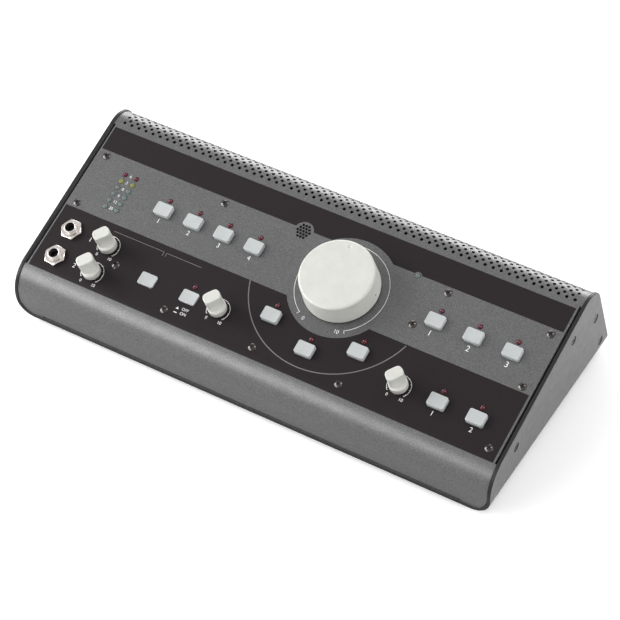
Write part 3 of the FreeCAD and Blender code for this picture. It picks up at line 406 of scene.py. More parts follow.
def sheet(shape, filled, thickness=0.0, surface=bend, height=0.0, finish=0, ease=0.0, rim=0):
    """Lay a filled outline on a surface. With a thickness it also gets a back, and walls in the
    finish `rim`, whose edges are rounded off by `ease`."""
    points, faces = filled
    laid = [surface(x, y, height) for x, y in points]
    front = [Vector(point) for point, _ in laid]
    up = [Vector(normal) for _, normal in laid]
    back = [Vector(surface(x, y, height - thickness)[0]) for x, y in points]
    edges = rim_edges(faces, front, up)
    outward = {}
    for corners, away in edges.items():
        for corner in corners:
            outward.setdefault(corner, []).append(away)
    inset = [Vector() for _ in points]
    for corner, ways in outward.items():
        total = sum(ways, Vector())
        inset[corner] = total * ease * len(ways) / max(total.length_squared, 0.5)
    face_points = [point - shift for point, shift in zip(front, inset)]
    shape.add(face_points, faces, finish, [[tuple(up[corner]) for corner in face] for face in faces])
    if not thickness:
        return shape
    back_points = [point - shift for point, shift in zip(back, inset)]
    shape.add(back_points, [face[::-1] for face in faces], finish,
              [[tuple(-up[corner]) for corner in face[::-1]] for face in faces])

    def softened(corner, away):
        near = [other for other in outward[corner] if other.angle(away, 0) < radians(40)]
        return sum(near, Vector()).normalized()

    for (a, b), away in edges.items():
        sides = softened(a, away), softened(b, away)
        levels = [(front[a] - up[a] * ease, front[b] - up[b] * ease, *sides),
                  (back[a] + up[a] * ease, back[b] + up[b] * ease, *sides)]
        if ease:
            levels.insert(0, (face_points[a], face_points[b], up[a], up[b]))
            levels.append((back_points[a], back_points[b], -up[a], -up[b]))
        for upper, lower in zip(levels, levels[1:]):
            corners = [upper[0], lower[0], lower[1], upper[1]]
            normals = [tuple(normal) for normal in (upper[2], lower[2], lower[3], upper[3])]
            shape.add(corners, [[0, 1, 2, 3]], rim, [normals])
    return shape


# -------- materials


def srgb(red, green, blue):
    """A colour given as 0 to 255 on the screen, as the shader's linear numbers."""
    def linear(part):
        part /= 255
        return part / 12.92 if part <= 0.04045 else ((part + 0.055) / 1.055) ** 2.4
    return linear(red), linear(green), linear(blue), 1.0


def add_node(tree, kind, **sockets):
    """A new shader node with some of its sockets set."""
    node = tree.nodes.new("ShaderNode" + kind)
    set_sockets(node, sockets)
    return node


def set_sockets(node, sockets):
    """Set some of a node's sockets, by name or with _ for the spaces in it."""
    for socket, number in sockets.items():
        node.inputs[socket.replace("_", " ")].default_value = number


class Finish:
    """A material with a Principled shader and shorthand for the nodes that vary it."""

    def __init__(self, name, colour, roughness, **sockets):
        self.material = bpy.data.materials.new(name)
        self.material.use_nodes = True
        self.tree = self.material.node_tree
        self.shader = self.tree.nodes["Principled BSDF"]
        set_sockets(self.shader, {"Base Color": colour, "Roughness": roughness, **sockets})
        self.where = add_node(self.tree, "TexCoord").outputs["Object"]
        self.height = None

    def noise(self, grain, detail=2.0, roughness=0.55):
        """Noise whose features are about `grain` millimetres wide."""
        node = add_node(self.tree, "TexNoise", Scale=1 / (grain * MM), Detail=detail, Roughness=roughness)
        self.tree.links.new(self.where, node.inputs["Vector"])
        return node.outputs["Fac"]

    def ramp(self, value, *stops):
        """Map a value through colours or greys given as (position, colour)."""
        node = add_node(self.tree, "ValToRGB")
        elements = node.color_ramp.elements
        while len(elements) < len(stops):
            elements.new(0.5)
        for element, (position, colour) in zip(elements, stops):
            element.position = position
            element.color = colour if isinstance(colour, tuple) else (colour, colour, colour, 1)
        self.tree.links.new(value, node.inputs["Fac"])
        return node.outputs["Color"]

    def drive(self, socket, value):
        """Let a value set one of the shader's sockets."""
        self.tree.links.new(value, self.shader.inputs[socket])

    def bump(self, value, strength, depth):
        """Add relief `depth` millimetres deep. Calls stack up."""
        node = add_node(self.tree, "Bump", Strength=strength, Distance=depth * MM)
        self.tree.links.new(value, node.inputs["Height"])
        if self.height:
            self.tree.links.new(self.height, node.inputs["Normal"])
        self.height = node.outputs["Normal"]
        self.tree.links.new(self.height, self.shader.inputs["Normal"])


def painted(name, dark, light, speck=0.8):
    """Powder coat: a fine two-tone grain, an orange-peel relief and a slightly uneven gloss."""
    made = Finish(name, light, 0.36, Specular_IOR_Level=0.9)
    mottle = made.noise(0.7, 3.0, 0.6)
    made.drive("Base Color", made.ramp(mottle, (0.36, dark), (0.64, light)))
    made.drive("Roughness", made.ramp(made.noise(6.0), (0.3, 0.32), (0.7, 0.41)))
    made.bump(mottle, speck, 0.035)
    made.bump(made.noise(1.6, 1.0), 0.2, 0.03)
    return made.material


def printed(name, colour):
    """Screen-printed ink: the paint's grain shows through it faintly."""
    made = Finish(name, colour, 0.5, Specular_IOR_Level=0.15)
    grain = made.noise(0.7, 3.0, 0.6)
    lighter = tuple(min(1.0, part * 1.25 + 0.002) for part in colour[:3]) + (1.0,)
    made.drive("Base Color", made.ramp(grain, (0.35, colour), (0.7, lighter)))
    made.bump(grain, 0.5, 0.025)
    return made.material


def moulded(name, colour, roughness, grain=0.3, depth=0.008, **sockets):
    """Moulded plastic with a spark-eroded texture and faint flow marks in its gloss."""
    made = Finish(name, colour, roughness, **sockets)
    darker = tuple(part * 0.93 for part in colour[:3]) + (1.0,)
    made.drive("Base Color", made.ramp(made.noise(9.0, 3.0), (0.3, darker), (0.65, colour)))
    made.drive("Roughness", made.ramp(made.noise(3.0), (0.3, roughness - 0.05), (0.7, roughness + 0.06)))
    made.bump(made.noise(grain), 0.4, depth)
    return made.material


def metal(name, colour, roughness):
    """Plated or turned metal with fine scratches and a slightly cloudy gloss."""
    made = Finish(name, colour, roughness, Metallic=1.0)
    smooth, rough = max(roughness - 0.05, 0.03), roughness + 0.06
    made.drive("Roughness", made.ramp(made.noise(1.2, 3.0), (0.3, smooth), (0.75, rough)))
    tint = tuple(part * 0.9 for part in colour[:3]) + (1.0,)
    made.drive("Base Color", made.ramp(made.noise(2.4), (0.3, tint), (0.6, colour)))
    made.bump(made.noise(0.25), 0.12, 0.01)
    return made.material


def lens(name, deep, bright):
    """A tinted lamp: darker at the rim, and clearer in the middle."""
    made = Finish(name, deep, 0.08, Specular_IOR_Level=0.25)
    facing = add_node(made.tree, "LayerWeight", Blend=0.35)
    made.drive("Base Color", made.ramp(facing.outputs["Facing"], (0.05, bright), (0.5, deep)))
    made.bump(made.noise(0.5, 1.0), 0.15, 0.02)
    return made.material


PAINT_GREY = painted("cover_paint", srgb(46, 46, 47), srgb(92, 92, 93))
# A lighter grey than the cover's paint: part of the light that falls on the case's sides is painted into
# it.
CASE_PAINT_WITH_PAINTED_LIGHT = painted("case_paint", srgb(76, 76, 76), srgb(112, 112, 111), speck=0.4)
EDGE_BLACK = moulded("edge_black", srgb(27, 25, 26), 0.4, Specular_IOR_Level=0.3)
PAINT_REAR = painted("rear_paint", srgb(44, 43, 44), srgb(64, 63, 64))
INK_BLACK = printed("print_black", srgb(28, 23, 25))
INK_WHITE = printed("print_white", srgb(226, 226, 224))
INK_GREY = printed("print_grey", srgb(112, 108, 110))
KNOB_WHITE = moulded("knob_plastic", srgb(212, 212, 206), 0.36)
CAP_GREY = moulded("cap_plastic", srgb(186, 190, 190), 0.45, 0.5, 0.03)
BLACK_PLASTIC = moulded("jack_plastic", srgb(30, 30, 32), 0.5)
SWITCH_PLASTIC = moulded("switch_plastic", srgb(54, 54, 58), 0.5)
NICKEL = metal("plated_steel", srgb(200, 194, 190), 0.22)
BRASS = metal("socket_brass", srgb(206, 176, 110), 0.26)
BLACK_STEEL = metal("black_steel", srgb(72, 69, 68), 0.19)
GREY_STEEL = metal("grey_steel", srgb(124, 124, 122), 0.28)
RUBBER = moulded("foot_rubber", srgb(34, 33, 33), 0.75, 0.6, 0.04)
BOARD = moulded("circuit_board", srgb(28, 82, 48), 0.45)
# Near-black painted shade for the floors of the screws' recesses, the jacks' deep bores and the grille's
# holes; it also stands for the black foam, capsule and plastic there.
BLACK_AND_PAINTED_SHADE = moulded("black_and_painted_shade", srgb(10, 10, 10), 0.6)
RED_LENS = lens("red_lens", srgb(44, 6, 16), srgb(84, 12, 30))
YELLOW_LENS = lens("yellow_lens", srgb(80, 80, 32), srgb(132, 132, 66))
CLEAR_LENS = lens("clear_lens", srgb(56, 76, 74), srgb(98, 116, 112))
# Light marks on the lamps' lenses: partly the leads seen through them, partly painted glints.
LEAD_MARK_AND_PAINTED_GLINT = moulded("lamp_lead", srgb(176, 150, 156), 0.3)
PHONO_RED = moulded("socket_red", srgb(168, 32, 34), 0.35)
PHONO_WHITE = moulded("socket_white", srgb(226, 226, 222), 0.35)

# -------- case


def steps(first, last, pitch):
    """Even steps of about one pitch, both ends included."""
    count = max(1, ceil(abs(last - first) / pitch))
    return [first + (last - first) * index / count for index in range(count + 1)]


def windows(gap):
    """The outlines of every opening in the flat panel, each `gap` larger than it is cut."""
    extra = 2 * (WINDOW_GAP + gap)
    loops = [rounded_box(*spot(node), CAP_WIDTH + extra, CAP_DEPTH + extra, WINDOW_CORNER + gap)
             for node in BUTTONS]
    rounds = [(node, LED_RADIUS + LED_GAP, 24) for node in LAMPS] + [("phones_jacks", JACK_HOLE, 32)]
    rounds += [(node, KNOB_HOLE, 24) for node in KNOBS] + [("big_knob", DIAL_HOLE, 32)]
    for node, radius, sides in rounds:
        loops += [circle(x, y, radius + gap, sides) for x, y, _ in spots(node)]
    return loops + [circle(x, y, SCREW_HOLE, 12) for x, y, _ in spots("panel_screws")]


def grille_places():
    """The middles of the microphone's holes, in staggered rows."""
    places = []
    for row, count in enumerate(MIC_ROWS):
        y = MIC[1] + (row - 2) * MIC_STEP
        places += [(MIC[0] + (index - (count - 1) / 2) * MIC_PITCH, y) for index in range(count)]
    return places


def foam_and_hole_shade():
    """Black plugs a little way into the grille's holes: the black foam behind the grille, and painted shade
    inside the holes.
    """
    shape = Shape()
    for x, y in grille_places():
        shape.lathe([(MIC_HOLE - 0.01, -0.1), (MIC_HOLE - 0.01, -1.1), (0, -1.1)], 12, x, y)
    shape.piece("mic_foam", [BLACK_AND_PAINTED_SHADE], slot="foot_rubber")


def vents():
    """The outlines of the hood's holes, in staggered rows."""
    loops = []
    for row in range(VENT_ROWS):
        count = VENT_COLUMNS - row % 2
        for column in range(count):
            x = (column - (count - 1) / 2) * VENT_PITCH + VENT_SHIFT
            loops.append(circle(x, VENT_FIRST + row * VENT_STEP, VENT_RADIUS, 14))
    return loops


def cover():
    """The bent sheet: nose, flat panel and perforated hood, with the panel's folded sides."""
    inner = PANEL_HALF - PANEL_FOLD
    right = [
        (LIP_HALF, COVER_LOW + LIP_HEIGHT), (LIP_HALF, COVER_LOW), (COVER_HALF, COVER_LOW),
        (COVER_HALF, NOTCH_FRONT), (inner, NOTCH_FRONT), (inner, NOTCH_REAR),
        (COVER_HALF, NOTCH_REAR), (COVER_HALF, SKIRT_END),
    ]
    left = [(-x, s) for x, s in reversed(right)]
    radii = [0, 0, LIP_CORNER, 0, 0, 0, 0, 0]
    outline = rounded(right + left, radii + radii[::-1], 1.2)
    lines = steps(FLAT_FRONT, NOSE_END, 1.0) + steps(FLAT_REAR, HOOD_END, VENT_STEP / 2)
    cuts = [[(-COVER_HALF - 1, s), (COVER_HALF + 1, s)] for s in lines]
    skirt_holes = [circle(x, SKIRT_SCREWS, SCREW_HOLE, 12) for x, _, _ in spots("rear_screws", REAR)]
    grille = [circle(x, y, MIC_HOLE, 12) for x, y in grille_places()]
    shape = sheet(Shape(), fill([outline], windows(0) + grille + vents() + skirt_holes, cuts), SHEET)
    for side in (-1, 1):
        fold(shape, side, inner)
    shape.piece("cover_sheet", [PAINT_GREY], "top_cover", slot="cover_paint")


def fold(shape, side, inner):
    """One of the panel's sides, rounded over and turned down."""
    swings = [radians(angle) for angle in (0, 22.5, 45, 67.5, 90)]
    across = [(sin(a) * PANEL_FOLD, -PANEL_FOLD * (1 - cos(a)), a) for a in swings]
    across.append((PANEL_FOLD, -FOLD_DROP, swings[-1]))
    rows = steps(NOTCH_FRONT, FLAT_FRONT, 1.0) + [NOTCH_REAR]
    points, normals = [], []
    for s in rows:
        for out, drop, swing in across:
            (x, y, z), (_, ny, nz) = bend(side * (inner + out), s, drop)
            points.append((x, y, z))
            normals.append((side * sin(swing), ny * cos(swing), nz * cos(swing)))
    count = len(across)
    faces = []
    for row in range(len(rows) - 1):
        for column in range(count - 1):
            a = row * count + column
            face = [a, a + 1, a + count + 1, a + count]
            faces.append(face if side > 0 else face[::-1])
    shape.add(points, faces, 0, [[normals[corner] for corner in face] for face in faces])


def tray_surface(y, t, height=0.0):
    """A point of the unrolled tray: t runs from the middle of the floor out and up one side."""
    side = 1 if t >= 0 else -1
    reach = abs(t)
    angle = min(max(reach - TRAY_FLAT, 0) / TRAY_BEND, pi / 2)
    x = min(reach, TRAY_FLAT) + (TRAY_BEND + height) * sin(angle)
    z = TRAY_FLOOR + TRAY_BEND - (TRAY_BEND + height) * cos(angle) + max(reach - TRAY_WALL, 0)
    return (side * x, y, z), (side * sin(angle), 0, -cos(angle))


def tray():
    """Floor and sides in one sheet, with the sides cut to the wedge's profile."""
    foot = TRAY_FLOOR + TRAY_BEND
    crest = (TRAY_STEP + TRAY_FRONT * sin(TILT)) / cos(TILT)
    peak = (TRAY_REAR * cos(TILT) - TRAY_STEP * sin(TILT), TRAY_REAR * sin(TILT) + TRAY_STEP * cos(TILT))

    def rear(z):
        return peak[0] + (peak[1] - z) * tan(TILT)

    arcs = [pi / 2 * index / 8 for index in range(9)]
    folds = [TRAY_FLAT + TRAY_BEND * a for a in arcs]
    bend_edge = [(rear(foot - TRAY_BEND * cos(a)), t) for a, t in zip(arcs, folds)]
    side = rounded(
        [(rear(foot), TRAY_WALL), (peak[0], TRAY_WALL + peak[1] - foot),
         (TRAY_FRONT, TRAY_WALL + crest - foot), (TRAY_FRONT, TRAY_WALL)],
        [0, HOOD_RADIUS + TRAY_STEP, NOSE_RADIUS + TRAY_STEP, 0], 1.5)
    half = bend_edge[:-1] + side
    outline = half + [(y, -t) for y, t in reversed(half)]
    cuts = [[(TRAY_FRONT - 5, s * t), (rear(TRAY_FLOOR) + 5, s * t)] for t in folds for s in (-1, 1)]
    holes = [circle(y, s * (TRAY_WALL + z - foot), SIDE_SCREW_HOLE, 24)
             for x, y, z in spots("side_screws", UPRIGHT) if x > 0 for s in (-1, 1)]
    shape = sheet(Shape(), fill([outline], holes, cuts), TRAY, tray_surface, ease=0.35, rim=1)
    shape.piece("tray_sheet", [CASE_PAINT_WITH_PAINTED_LIGHT, EDGE_BLACK], "tray", slot="case_paint", place=UPRIGHT)


def dome(crown, radius):
    """A shallow dome over (x, y) = (0, 0) for `sheet`."""
    def surface(x, y, height=0.0):
        normal = Vector((2 * crown * x / radius**2, 2 * crown * y / radius**2, 1)).normalized()
        return (x, y, height + crown * (1 - (x * x + y * y) / radius**2)), tuple(normal)
    return surface


def cross(reach, width):
    """The outline of a cross recess."""
    r, w = reach, width / 2
    return [(r, -w), (r, w), (w, w), (w, r), (-w, r), (-w, w), (-r, w), (-r, -w), (-w, -w), (-w, -r),
            (w, -r), (w, -w)]


def screw_head(radius, height, crown, reach):
    """A cross-recessed head standing on z = 0."""
    head = Shape()
    edge = height - crown
    recess = cross(reach, 0.62)
    sheet(head, fill([circle(0, 0, radius - 0.12, 28)], [recess]), height * 0.75, dome(crown, radius), edge)
    # The recess's floor takes the second finish: near-black painted shade at the bottom of the cross.
    sheet(head, fill([recess]), 0, flat, height * 0.3, 1)
    head.lathe([(radius * 0.6, 0), (radius, 0), (radius, edge - 0.12), (radius - 0.12, edge)], 28)
    return head


def screws(name, node, place, seat):
    """Pan heads on a flat face, no two with their recesses turned alike."""
    head = screw_head(2.9, 1.25, 0.95, 1.5)
    shape = Shape()
    for index, (x, y, _) in enumerate(spots(node, place)):
        shape.join(head, (x, y, seat), Matrix.Rotation(radians(index * 37 % 90), 3, "Z"))
    shape.piece(name, [BLACK_STEEL, BLACK_AND_PAINTED_SHADE], node, slot="black_steel", place=place)


def side_screws():
    """Countersunk heads, flush with the tray's sides."""
    head = screw_head(2.85, 0.9, 0.35, 1.6)
    shape = Shape()
    for index, (x, y, z) in enumerate(spots("side_screws", UPRIGHT)):
        side = 1 if x > 0 else -1
        turned = Matrix.Rotation(radians(index * 41 % 90), 3, "Z")
        spin = Matrix.Rotation(side * radians(90), 3, "Y") @ turned
        shape.join(head, (side * (HALF_WIDTH - SCREW_SINK), y, z), spin)
    shape.piece("side_screw_heads", [GREY_STEEL, BLACK_AND_PAINTED_SHADE], "side_screws", slot="black_steel",
                place=UPRIGHT)


def feet():
    """Round feet with a soft lower rim and a hollow underneath."""
    low = TRAY_FLOOR - FOOT_HEIGHT
    profile = [(0, 0.5), (3.2, 0.5), (3.8, 0.1), (6.9, 0), (7.5, 0.2), (7.85, 0.7), (8, 1.4), (7.7, 3.5)]
    shape = Shape()
    for x, y, _ in spots("rubber_feet", UPRIGHT):
        shape.lathe([(radius, low + height) for radius, height in profile], 40, x, y)
    shape.piece("feet_moulded", [RUBBER], "rubber_feet", slot="foot_rubber", place=UPRIGHT)


# -------- controls


def button(node):
    """A push-button cap with a rim below the panel, crisp edges and a slightly dished top."""
    rest = -LATCHED_DEPTH if node in LATCHED_IN else 0.0
    levels = [(-0.9, -2.6), (-0.9, -1.75), (0, -1.7), (0, 3.1), (0.05, 3.28), (0.17, 3.42), (0.36, 3.5),
              (0.6, 3.47), (1.6, 3.38), (3.0, 3.33)]
    levels = [(inset, height + rest) for inset, height in levels]
    shape = Shape().prism(*spot(node), CAP_WIDTH, CAP_DEPTH, CAP_CORNER, levels)
    shape.piece(node.replace("button", "cap") + "_moulding", [CAP_GREY], node, slot="cap_plastic")


def grip_ring(reach, half, height, sides=72):
    """A circle of radius `reach` pinched to `half` on both sides of the x axis, softly."""
    ring = []
    for index in range(sides):
        angle = 2 * pi * index / sides
        pinch = abs(sin(angle)) / half
        radius = ((1 / reach) ** 9 + pinch**9) ** (-1 / 9)
        ring.append((radius * cos(angle), radius * sin(angle), height))
    return ring


def level_knob(node):
    """A low round skirt under a tall grip bar that flares to its flat top, dimpled at one end."""
    levels = [    # reach, half width, height
        (6.4, 9.0, 1.0), (6.6, 9.0, 1.2), (6.6, 9.0, 5.8), (6.52, 9.0, 6.14), (6.32, 9.0, 6.34),
        (6.14, 9.0, 6.4), (6.1, 2.56, 6.42), (6.1, 2.38, 7.2), (6.11, 2.3, 9.0),
        (6.12, 2.4, 11.0), (6.14, 2.68, 13.0), (6.16, 3.06, 15.0), (6.18, 3.54, 17.0), (6.2, 3.96, 18.6),
        (6.2, 4.16, 19.4), (6.15, 4.16, 19.8), (6.0, 4.02, 20.1), (5.78, 3.8, 20.26), (5.5, 3.52, 20.3),
    ]
    shape = Shape()
    rings = [grip_ring(*level) for level in levels]
    shape.stack(rings, closed=False)
    top = [(x, y) for x, y, _ in rings[-1]]
    dimple = (4.3, 0.0, 0.6)
    sheet(shape, fill([top], [circle(*dimple, 16)]), 0, flat, 20.3)
    shape.lathe([(0.6, 20.3), (0.5, 20.1), (0.3, 19.94), (0.0, 19.9)], 16, dimple[0], dimple[1])
    place = PANEL @ Matrix.Translation((*spot(node), 0)) @ Matrix.Rotation(KNOB_TURN, 4, "Z")
    shape.piece(node + "_moulding", [KNOB_WHITE], node, slot="knob_plastic", place=place, sharp=50)


def volume_knob():
    """A tapered drum with a rolled rim, a dimple in its top and a set screw's hole in its side."""
    top, foot, crown, rim = 20.0, 27.4, 26.7, 1.7
    screw_turn, screw_height = radians(3), 7.2

    def wall(around, height, out=0.0):
        angle = around / foot
        reach = foot - (foot - crown) * (height - 1.3) / (top - rim - 1.3) + out
        return (reach * cos(angle), reach * sin(angle), height), (cos(angle), sin(angle), 0.03)

    hollow = [(7.0, 5.6), (7.0, 16.0), (25.0, 15.9), (25.2, 1.2), (25.4, 1.0), (foot - 0.3, 1.0),
              (foot - 0.08, 1.08), (foot, 1.3)]
    turned = [radians(angle) for angle in range(0, 91, 6)]
    rolled = [(crown - rim + rim * cos(a), top - rim + rim * sin(a)) for a in turned]
    shape = Shape().lathe(hollow, 128).lathe(rolled, 128)
    columns = [foot * 2 * pi * index / 128 for index in range(129)]
    outline = [(around, 1.3) for around in columns] + [(around, top - rim) for around in reversed(columns)]
    cuts = [[(around, 0), (around, top)] for around in columns[1:-1]]
    hole = circle(foot * (screw_turn + pi / 2), screw_height, 1.0, 20)
    side = sheet(Shape(), fill([outline], [hole], cuts), 0, wall)    # seam a quarter turn from the hole
    shape.join(side, (0, 0, 0), Matrix.Rotation(-pi / 2, 3, "Z"))
    socket = Shape().lathe([(1.0, 0.05), (0.95, -1.6)], 20).lathe([(0.95, -1.6), (0, -1.6)], 20, finish=1)
    outward = Matrix.Rotation(screw_turn, 3, "Z") @ Matrix.Rotation(pi / 2, 3, "Y")
    seat = outward @ Vector((0, 0, foot - 0.25))
    shape.join(socket, (seat.x, seat.y, screw_height), outward)
    dimple = (-1.4, 21.9, 1.5)
    sheet(shape, fill([circle(0, 0, crown - rim, 128)], [circle(*dimple, 32)]), 0, flat, top)
    bowl = [(1.5, top), (1.3, top - 0.2), (0.95, top - 0.42), (0.5, top - 0.56), (0.0, top - 0.6)]
    shape.lathe(bowl, 32, dimple[0], dimple[1])
    place = PANEL @ Matrix.Translation((*DIAL, 0))
    shape.piece("volume_knob_moulding", [KNOB_WHITE, BLACK_STEEL], "big_knob", slot="knob_plastic",
                place=place, sharp=40)


def lamps(name, node, material, slot):
    """Round-topped lamps, each with two small light marks on top: the leads showing through, and painted
    glints as well.
    """
    shape = Shape()
    profile = [(1, -11.4), (1, 0.05), (0.96, 0.34), (0.85, 0.56), (0.65, 0.7), (0.37, 0.78), (0, 0.8)]
    for x, y, _ in spots(node):
        shape.lathe([(LED_RADIUS * share, height) for share, height in profile], 24, x, y)
        # Two light discs just above each lens: painted glints that also stand for the leads.
        for lead_and_glint, radius in ((-0.75, 0.34), (0.75, 0.26)):
            shape.lathe([(radius, 0.79), (0, 0.82)], 12, x + lead_and_glint, y + 0.1, 1)
    shape.piece(name, [material, LEAD_MARK_AND_PAINTED_GLINT], node, slot=slot, sharp=60)


def hex_nut(turn, sides=60):
    """A nut on z = 0 whose corners are turned off at the top in the usual curved chamfer."""
    land = NUT_FLATS / 2 * 0.985
    rings = [[], [], [], []]
    for index in range(sides):
        angle = 2 * pi * index / sides
        off = (angle - turn) % (pi / 3) - pi / 6
        reach = NUT_FLATS / 2 / cos(off)
        shoulder = NUT_HEIGHT - max(reach - land, 0) * 0.55 - 0.08
        levels = (reach, 0.0), (reach, shoulder), (land - 0.12, NUT_HEIGHT), (BUSH_RADIUS, NUT_HEIGHT)
        for ring, (radius, z) in zip(rings, levels):
            ring.append((radius * cos(angle), radius * sin(angle), z))
    return Shape().stack(rings, closed=False)


def jack_bush(top):
    """A threaded bush with a rounded lip, and the socket inside it in near-black: its black plastic,
    darkened further as painted shade down the bore.
    """
    radius, bore = BUSH_RADIUS, JACK_BORE
    threads, height, pitch = [], -1.2, 0.5
    while height < top - 0.6:
        threads += [(radius, height), (radius, height + 0.12), (radius - 0.16, height + pitch / 2)]
        height += pitch
    lip = [(radius, top - 0.45), (radius - 0.06, top - 0.2), (radius - 0.25, top - 0.03),
           (radius - 0.45, top), (bore + 0.35, top), (bore + 0.12, top - 0.08), (bore, top - 0.35),
           (bore, top - 3.2)]
    socket = [(bore, top - 3.2), (bore - 0.15, top - 3.4), (bore - 0.15, JACK_FLOOR), (0, JACK_FLOOR)]
    return Shape().lathe(threads + lip, 48).lathe(socket, 32, finish=1)


def jacks(prefix, node, place, reach):
    """Nuts and bushes of a row of quarter-inch jacks, and the housings behind them. No two nuts
    that stand side by side are turned alike."""
    nuts, bushes = Shape(), Shape()
    bush = jack_bush(reach)
    for index, (x, y, _) in enumerate(spots(node, place)):
        nuts.join(hex_nut(radians(-5.5 + index * 7.5)), (x, y, 0))
        bushes.join(bush, (x, y, 0))
        bushes.prism(x, y, 14.0, 14.0, 0.8, [(0, -24.3), (0, -1.2)], finish=2)
    bushes.piece(prefix + "_jack_bushes", [NICKEL, BLACK_AND_PAINTED_SHADE, BLACK_PLASTIC], node,
                 slot="jack_plastic", place=place)
    nuts.piece(prefix + "_jack_hexes", [NICKEL], prefix + "_jack_nuts", slot="plated_steel",
               place=place, sharp=28)


# -------- print


def black_print():
    """The two dark zones, cut round the volume dial, the mic and the power lamp."""
    band_area = rounded_box(0, (BAND_LOW + PRINT_EDGE) / 2, 2 * PRINT_HALF, PRINT_EDGE - BAND_LOW, 0.3)
    zone = rounded_box(0, (ZONE_TOP - PRINT_EDGE) / 2, 2 * PRINT_HALF, ZONE_TOP + PRINT_EDGE, 0.3)
    clear = [circle(*DIAL, DIAL_CLEAR, 160), circle(*MIC, MIC_CLEAR, 40),
             circle(*POWER_LED, POWER_CLEAR, 24)]
    lines = steps(FLAT_FRONT, -PRINT_EDGE, 1.0)
    cuts = [[(-PRINT_HALF - 1, s), (PRINT_HALF + 1, s)] for s in lines]
    shape = sheet(Shape(), fill([band_area, zone], clear + windows(0.02), cuts), 0, bend, INK)
    shape.piece("print_black", [INK_BLACK], slot="cover_paint")


def scale(x, y):
    """The ring round a level knob, open towards the front, with its marks pointing inwards."""
    marks = [-41, *range(-30, 211, 30), 221]
    loops = [tick(x, y, radians(degrees), 7.7, 8.5, 0.3) for degrees in marks]
    return [band(x, y, 8.45, 0.35, radians(-41), radians(262), 72), *loops]


def white_print():
    """The rings round the knobs, and the signs under the switch: a triangle off, a bar on."""
    start, end, line = radians(-58.8), radians(236.9), 0.38
    loops = [band(*DIAL, DIAL_RING, line, start, end - start, 160)]
    inner = DIAL_RING - line / 2
    loops += [tick(*DIAL, angle, inner, inner + 2.5, line) for angle in (start, end)]
    for node in KNOBS:
        loops += scale(*spot(node))
    x, y = spot("studio_button")
    loops.append([(x - 4.8, y - 11.0), (x - 2.4, y - 11.0), (x - 3.6, y - 9.0)])
    loops.append(stroke((x - 4.7, y - 13.7), (x - 2.3, y - 13.7), 0.7))
    shape = sheet(Shape(), fill(loops), 0, bend, 2 * INK)
    shape.piece("print_white", [INK_WHITE], slot="cover_paint")


def grey_print():
    """The ruled lines in the dark zone: the wide arc round the dial and two brackets."""
    start, end = radians(-161.8), radians(-19.1)
    loops = [band(*DIAL, DIAL_ARC, 0.75, start, end - start, 120)]
    lines = [((-140.2, -13.7), (-98.0, -13.7)), ((-98.0, -13.7), (-98.0, -17.0)),
             ((-95.6, -13.9), (-95.6, -16.8)), ((-95.6, -13.9), (-66.9, -13.9))]
    loops += [stroke(a, b, 0.4) for a, b in lines]
    shape = sheet(Shape(), fill(loops), 0, bend, 2 * INK)
    shape.piece("print_grey", [INK_GREY], slot="cover_paint")


def figure_places():
    """Every figure on the panel, as (text, x, y, size)."""
    entries = []
    rows = (("source_button", 0, -8.6, 5.0), ("monitor_button", 0, -9.2, 6.0),
            ("talkback_button", 0, -8.6, 5.0), ("phones_knob", -15.3, -0.4, 5.0))
    for start, right, up, size in rows:
        nodes = sorted(node for node in NODES if node.startswith(start + "_"))
        for index, node in enumerate(nodes):
            x, y = spot(node)
            entries.append((str(index + 1), x + right, y + up, size))
    for node in KNOBS:
        x, y = spot(node)
        entries += [("0", x - 4.9, y - 8.5, 3.2), ("10", x + 5.7, y - 8.5, 3.2)]
    x, y = DIAL
    entries += [("0", x - 13.5, y - 31.2, 4.0), ("10", x + 12.6, y - 31.0, 4.0)]
    heights = sorted({round(y, 2) for node in METER for _, y, _ in spots(node)}, reverse=True)
    middle = sum({round(x, 2) for x, _, _ in spots("meter_leds_red")}) / 2    # of the two columns
    entries += [(text, middle, y, 3.2) for text, y in zip(("6", "3", "0", "6", "12", "20"), heights)]
    x, y = spot("studio_button")
    return entries + [("OFF", x + 2.4, y - 9.7, 3.1), ("ON", x + 2.5, y - 13.1, 3.1)]


def figures():
    """The plain figures printed on the panel."""
    shape = Shape()
    for text, x, y, size in figure_places():
        curve = bpy.data.curves.new("figure", "FONT")
        curve.body, curve.size = text, size
        curve.align_x, curve.align_y = "CENTER", "CENTER"
        holder = bpy.data.objects.new("figure", curve)
        drawn = bpy.data.meshes.new_from_object(holder)
        points = [(vertex.co.x + x, vertex.co.y + y, 2.5 * INK) for vertex in drawn.vertices]
        faces = [list(polygon.vertices) for polygon in drawn.polygons]
        shape.add(points, faces, 0, [[(0, 0, 1)] * len(face) for face in faces])
        bpy.data.objects.remove(holder)
        bpy.data.meshes.remove(drawn)
        bpy.data.curves.remove(curve)
    shape.piece("print_figures", [INK_WHITE], slot="cover_paint")


# -------- rear


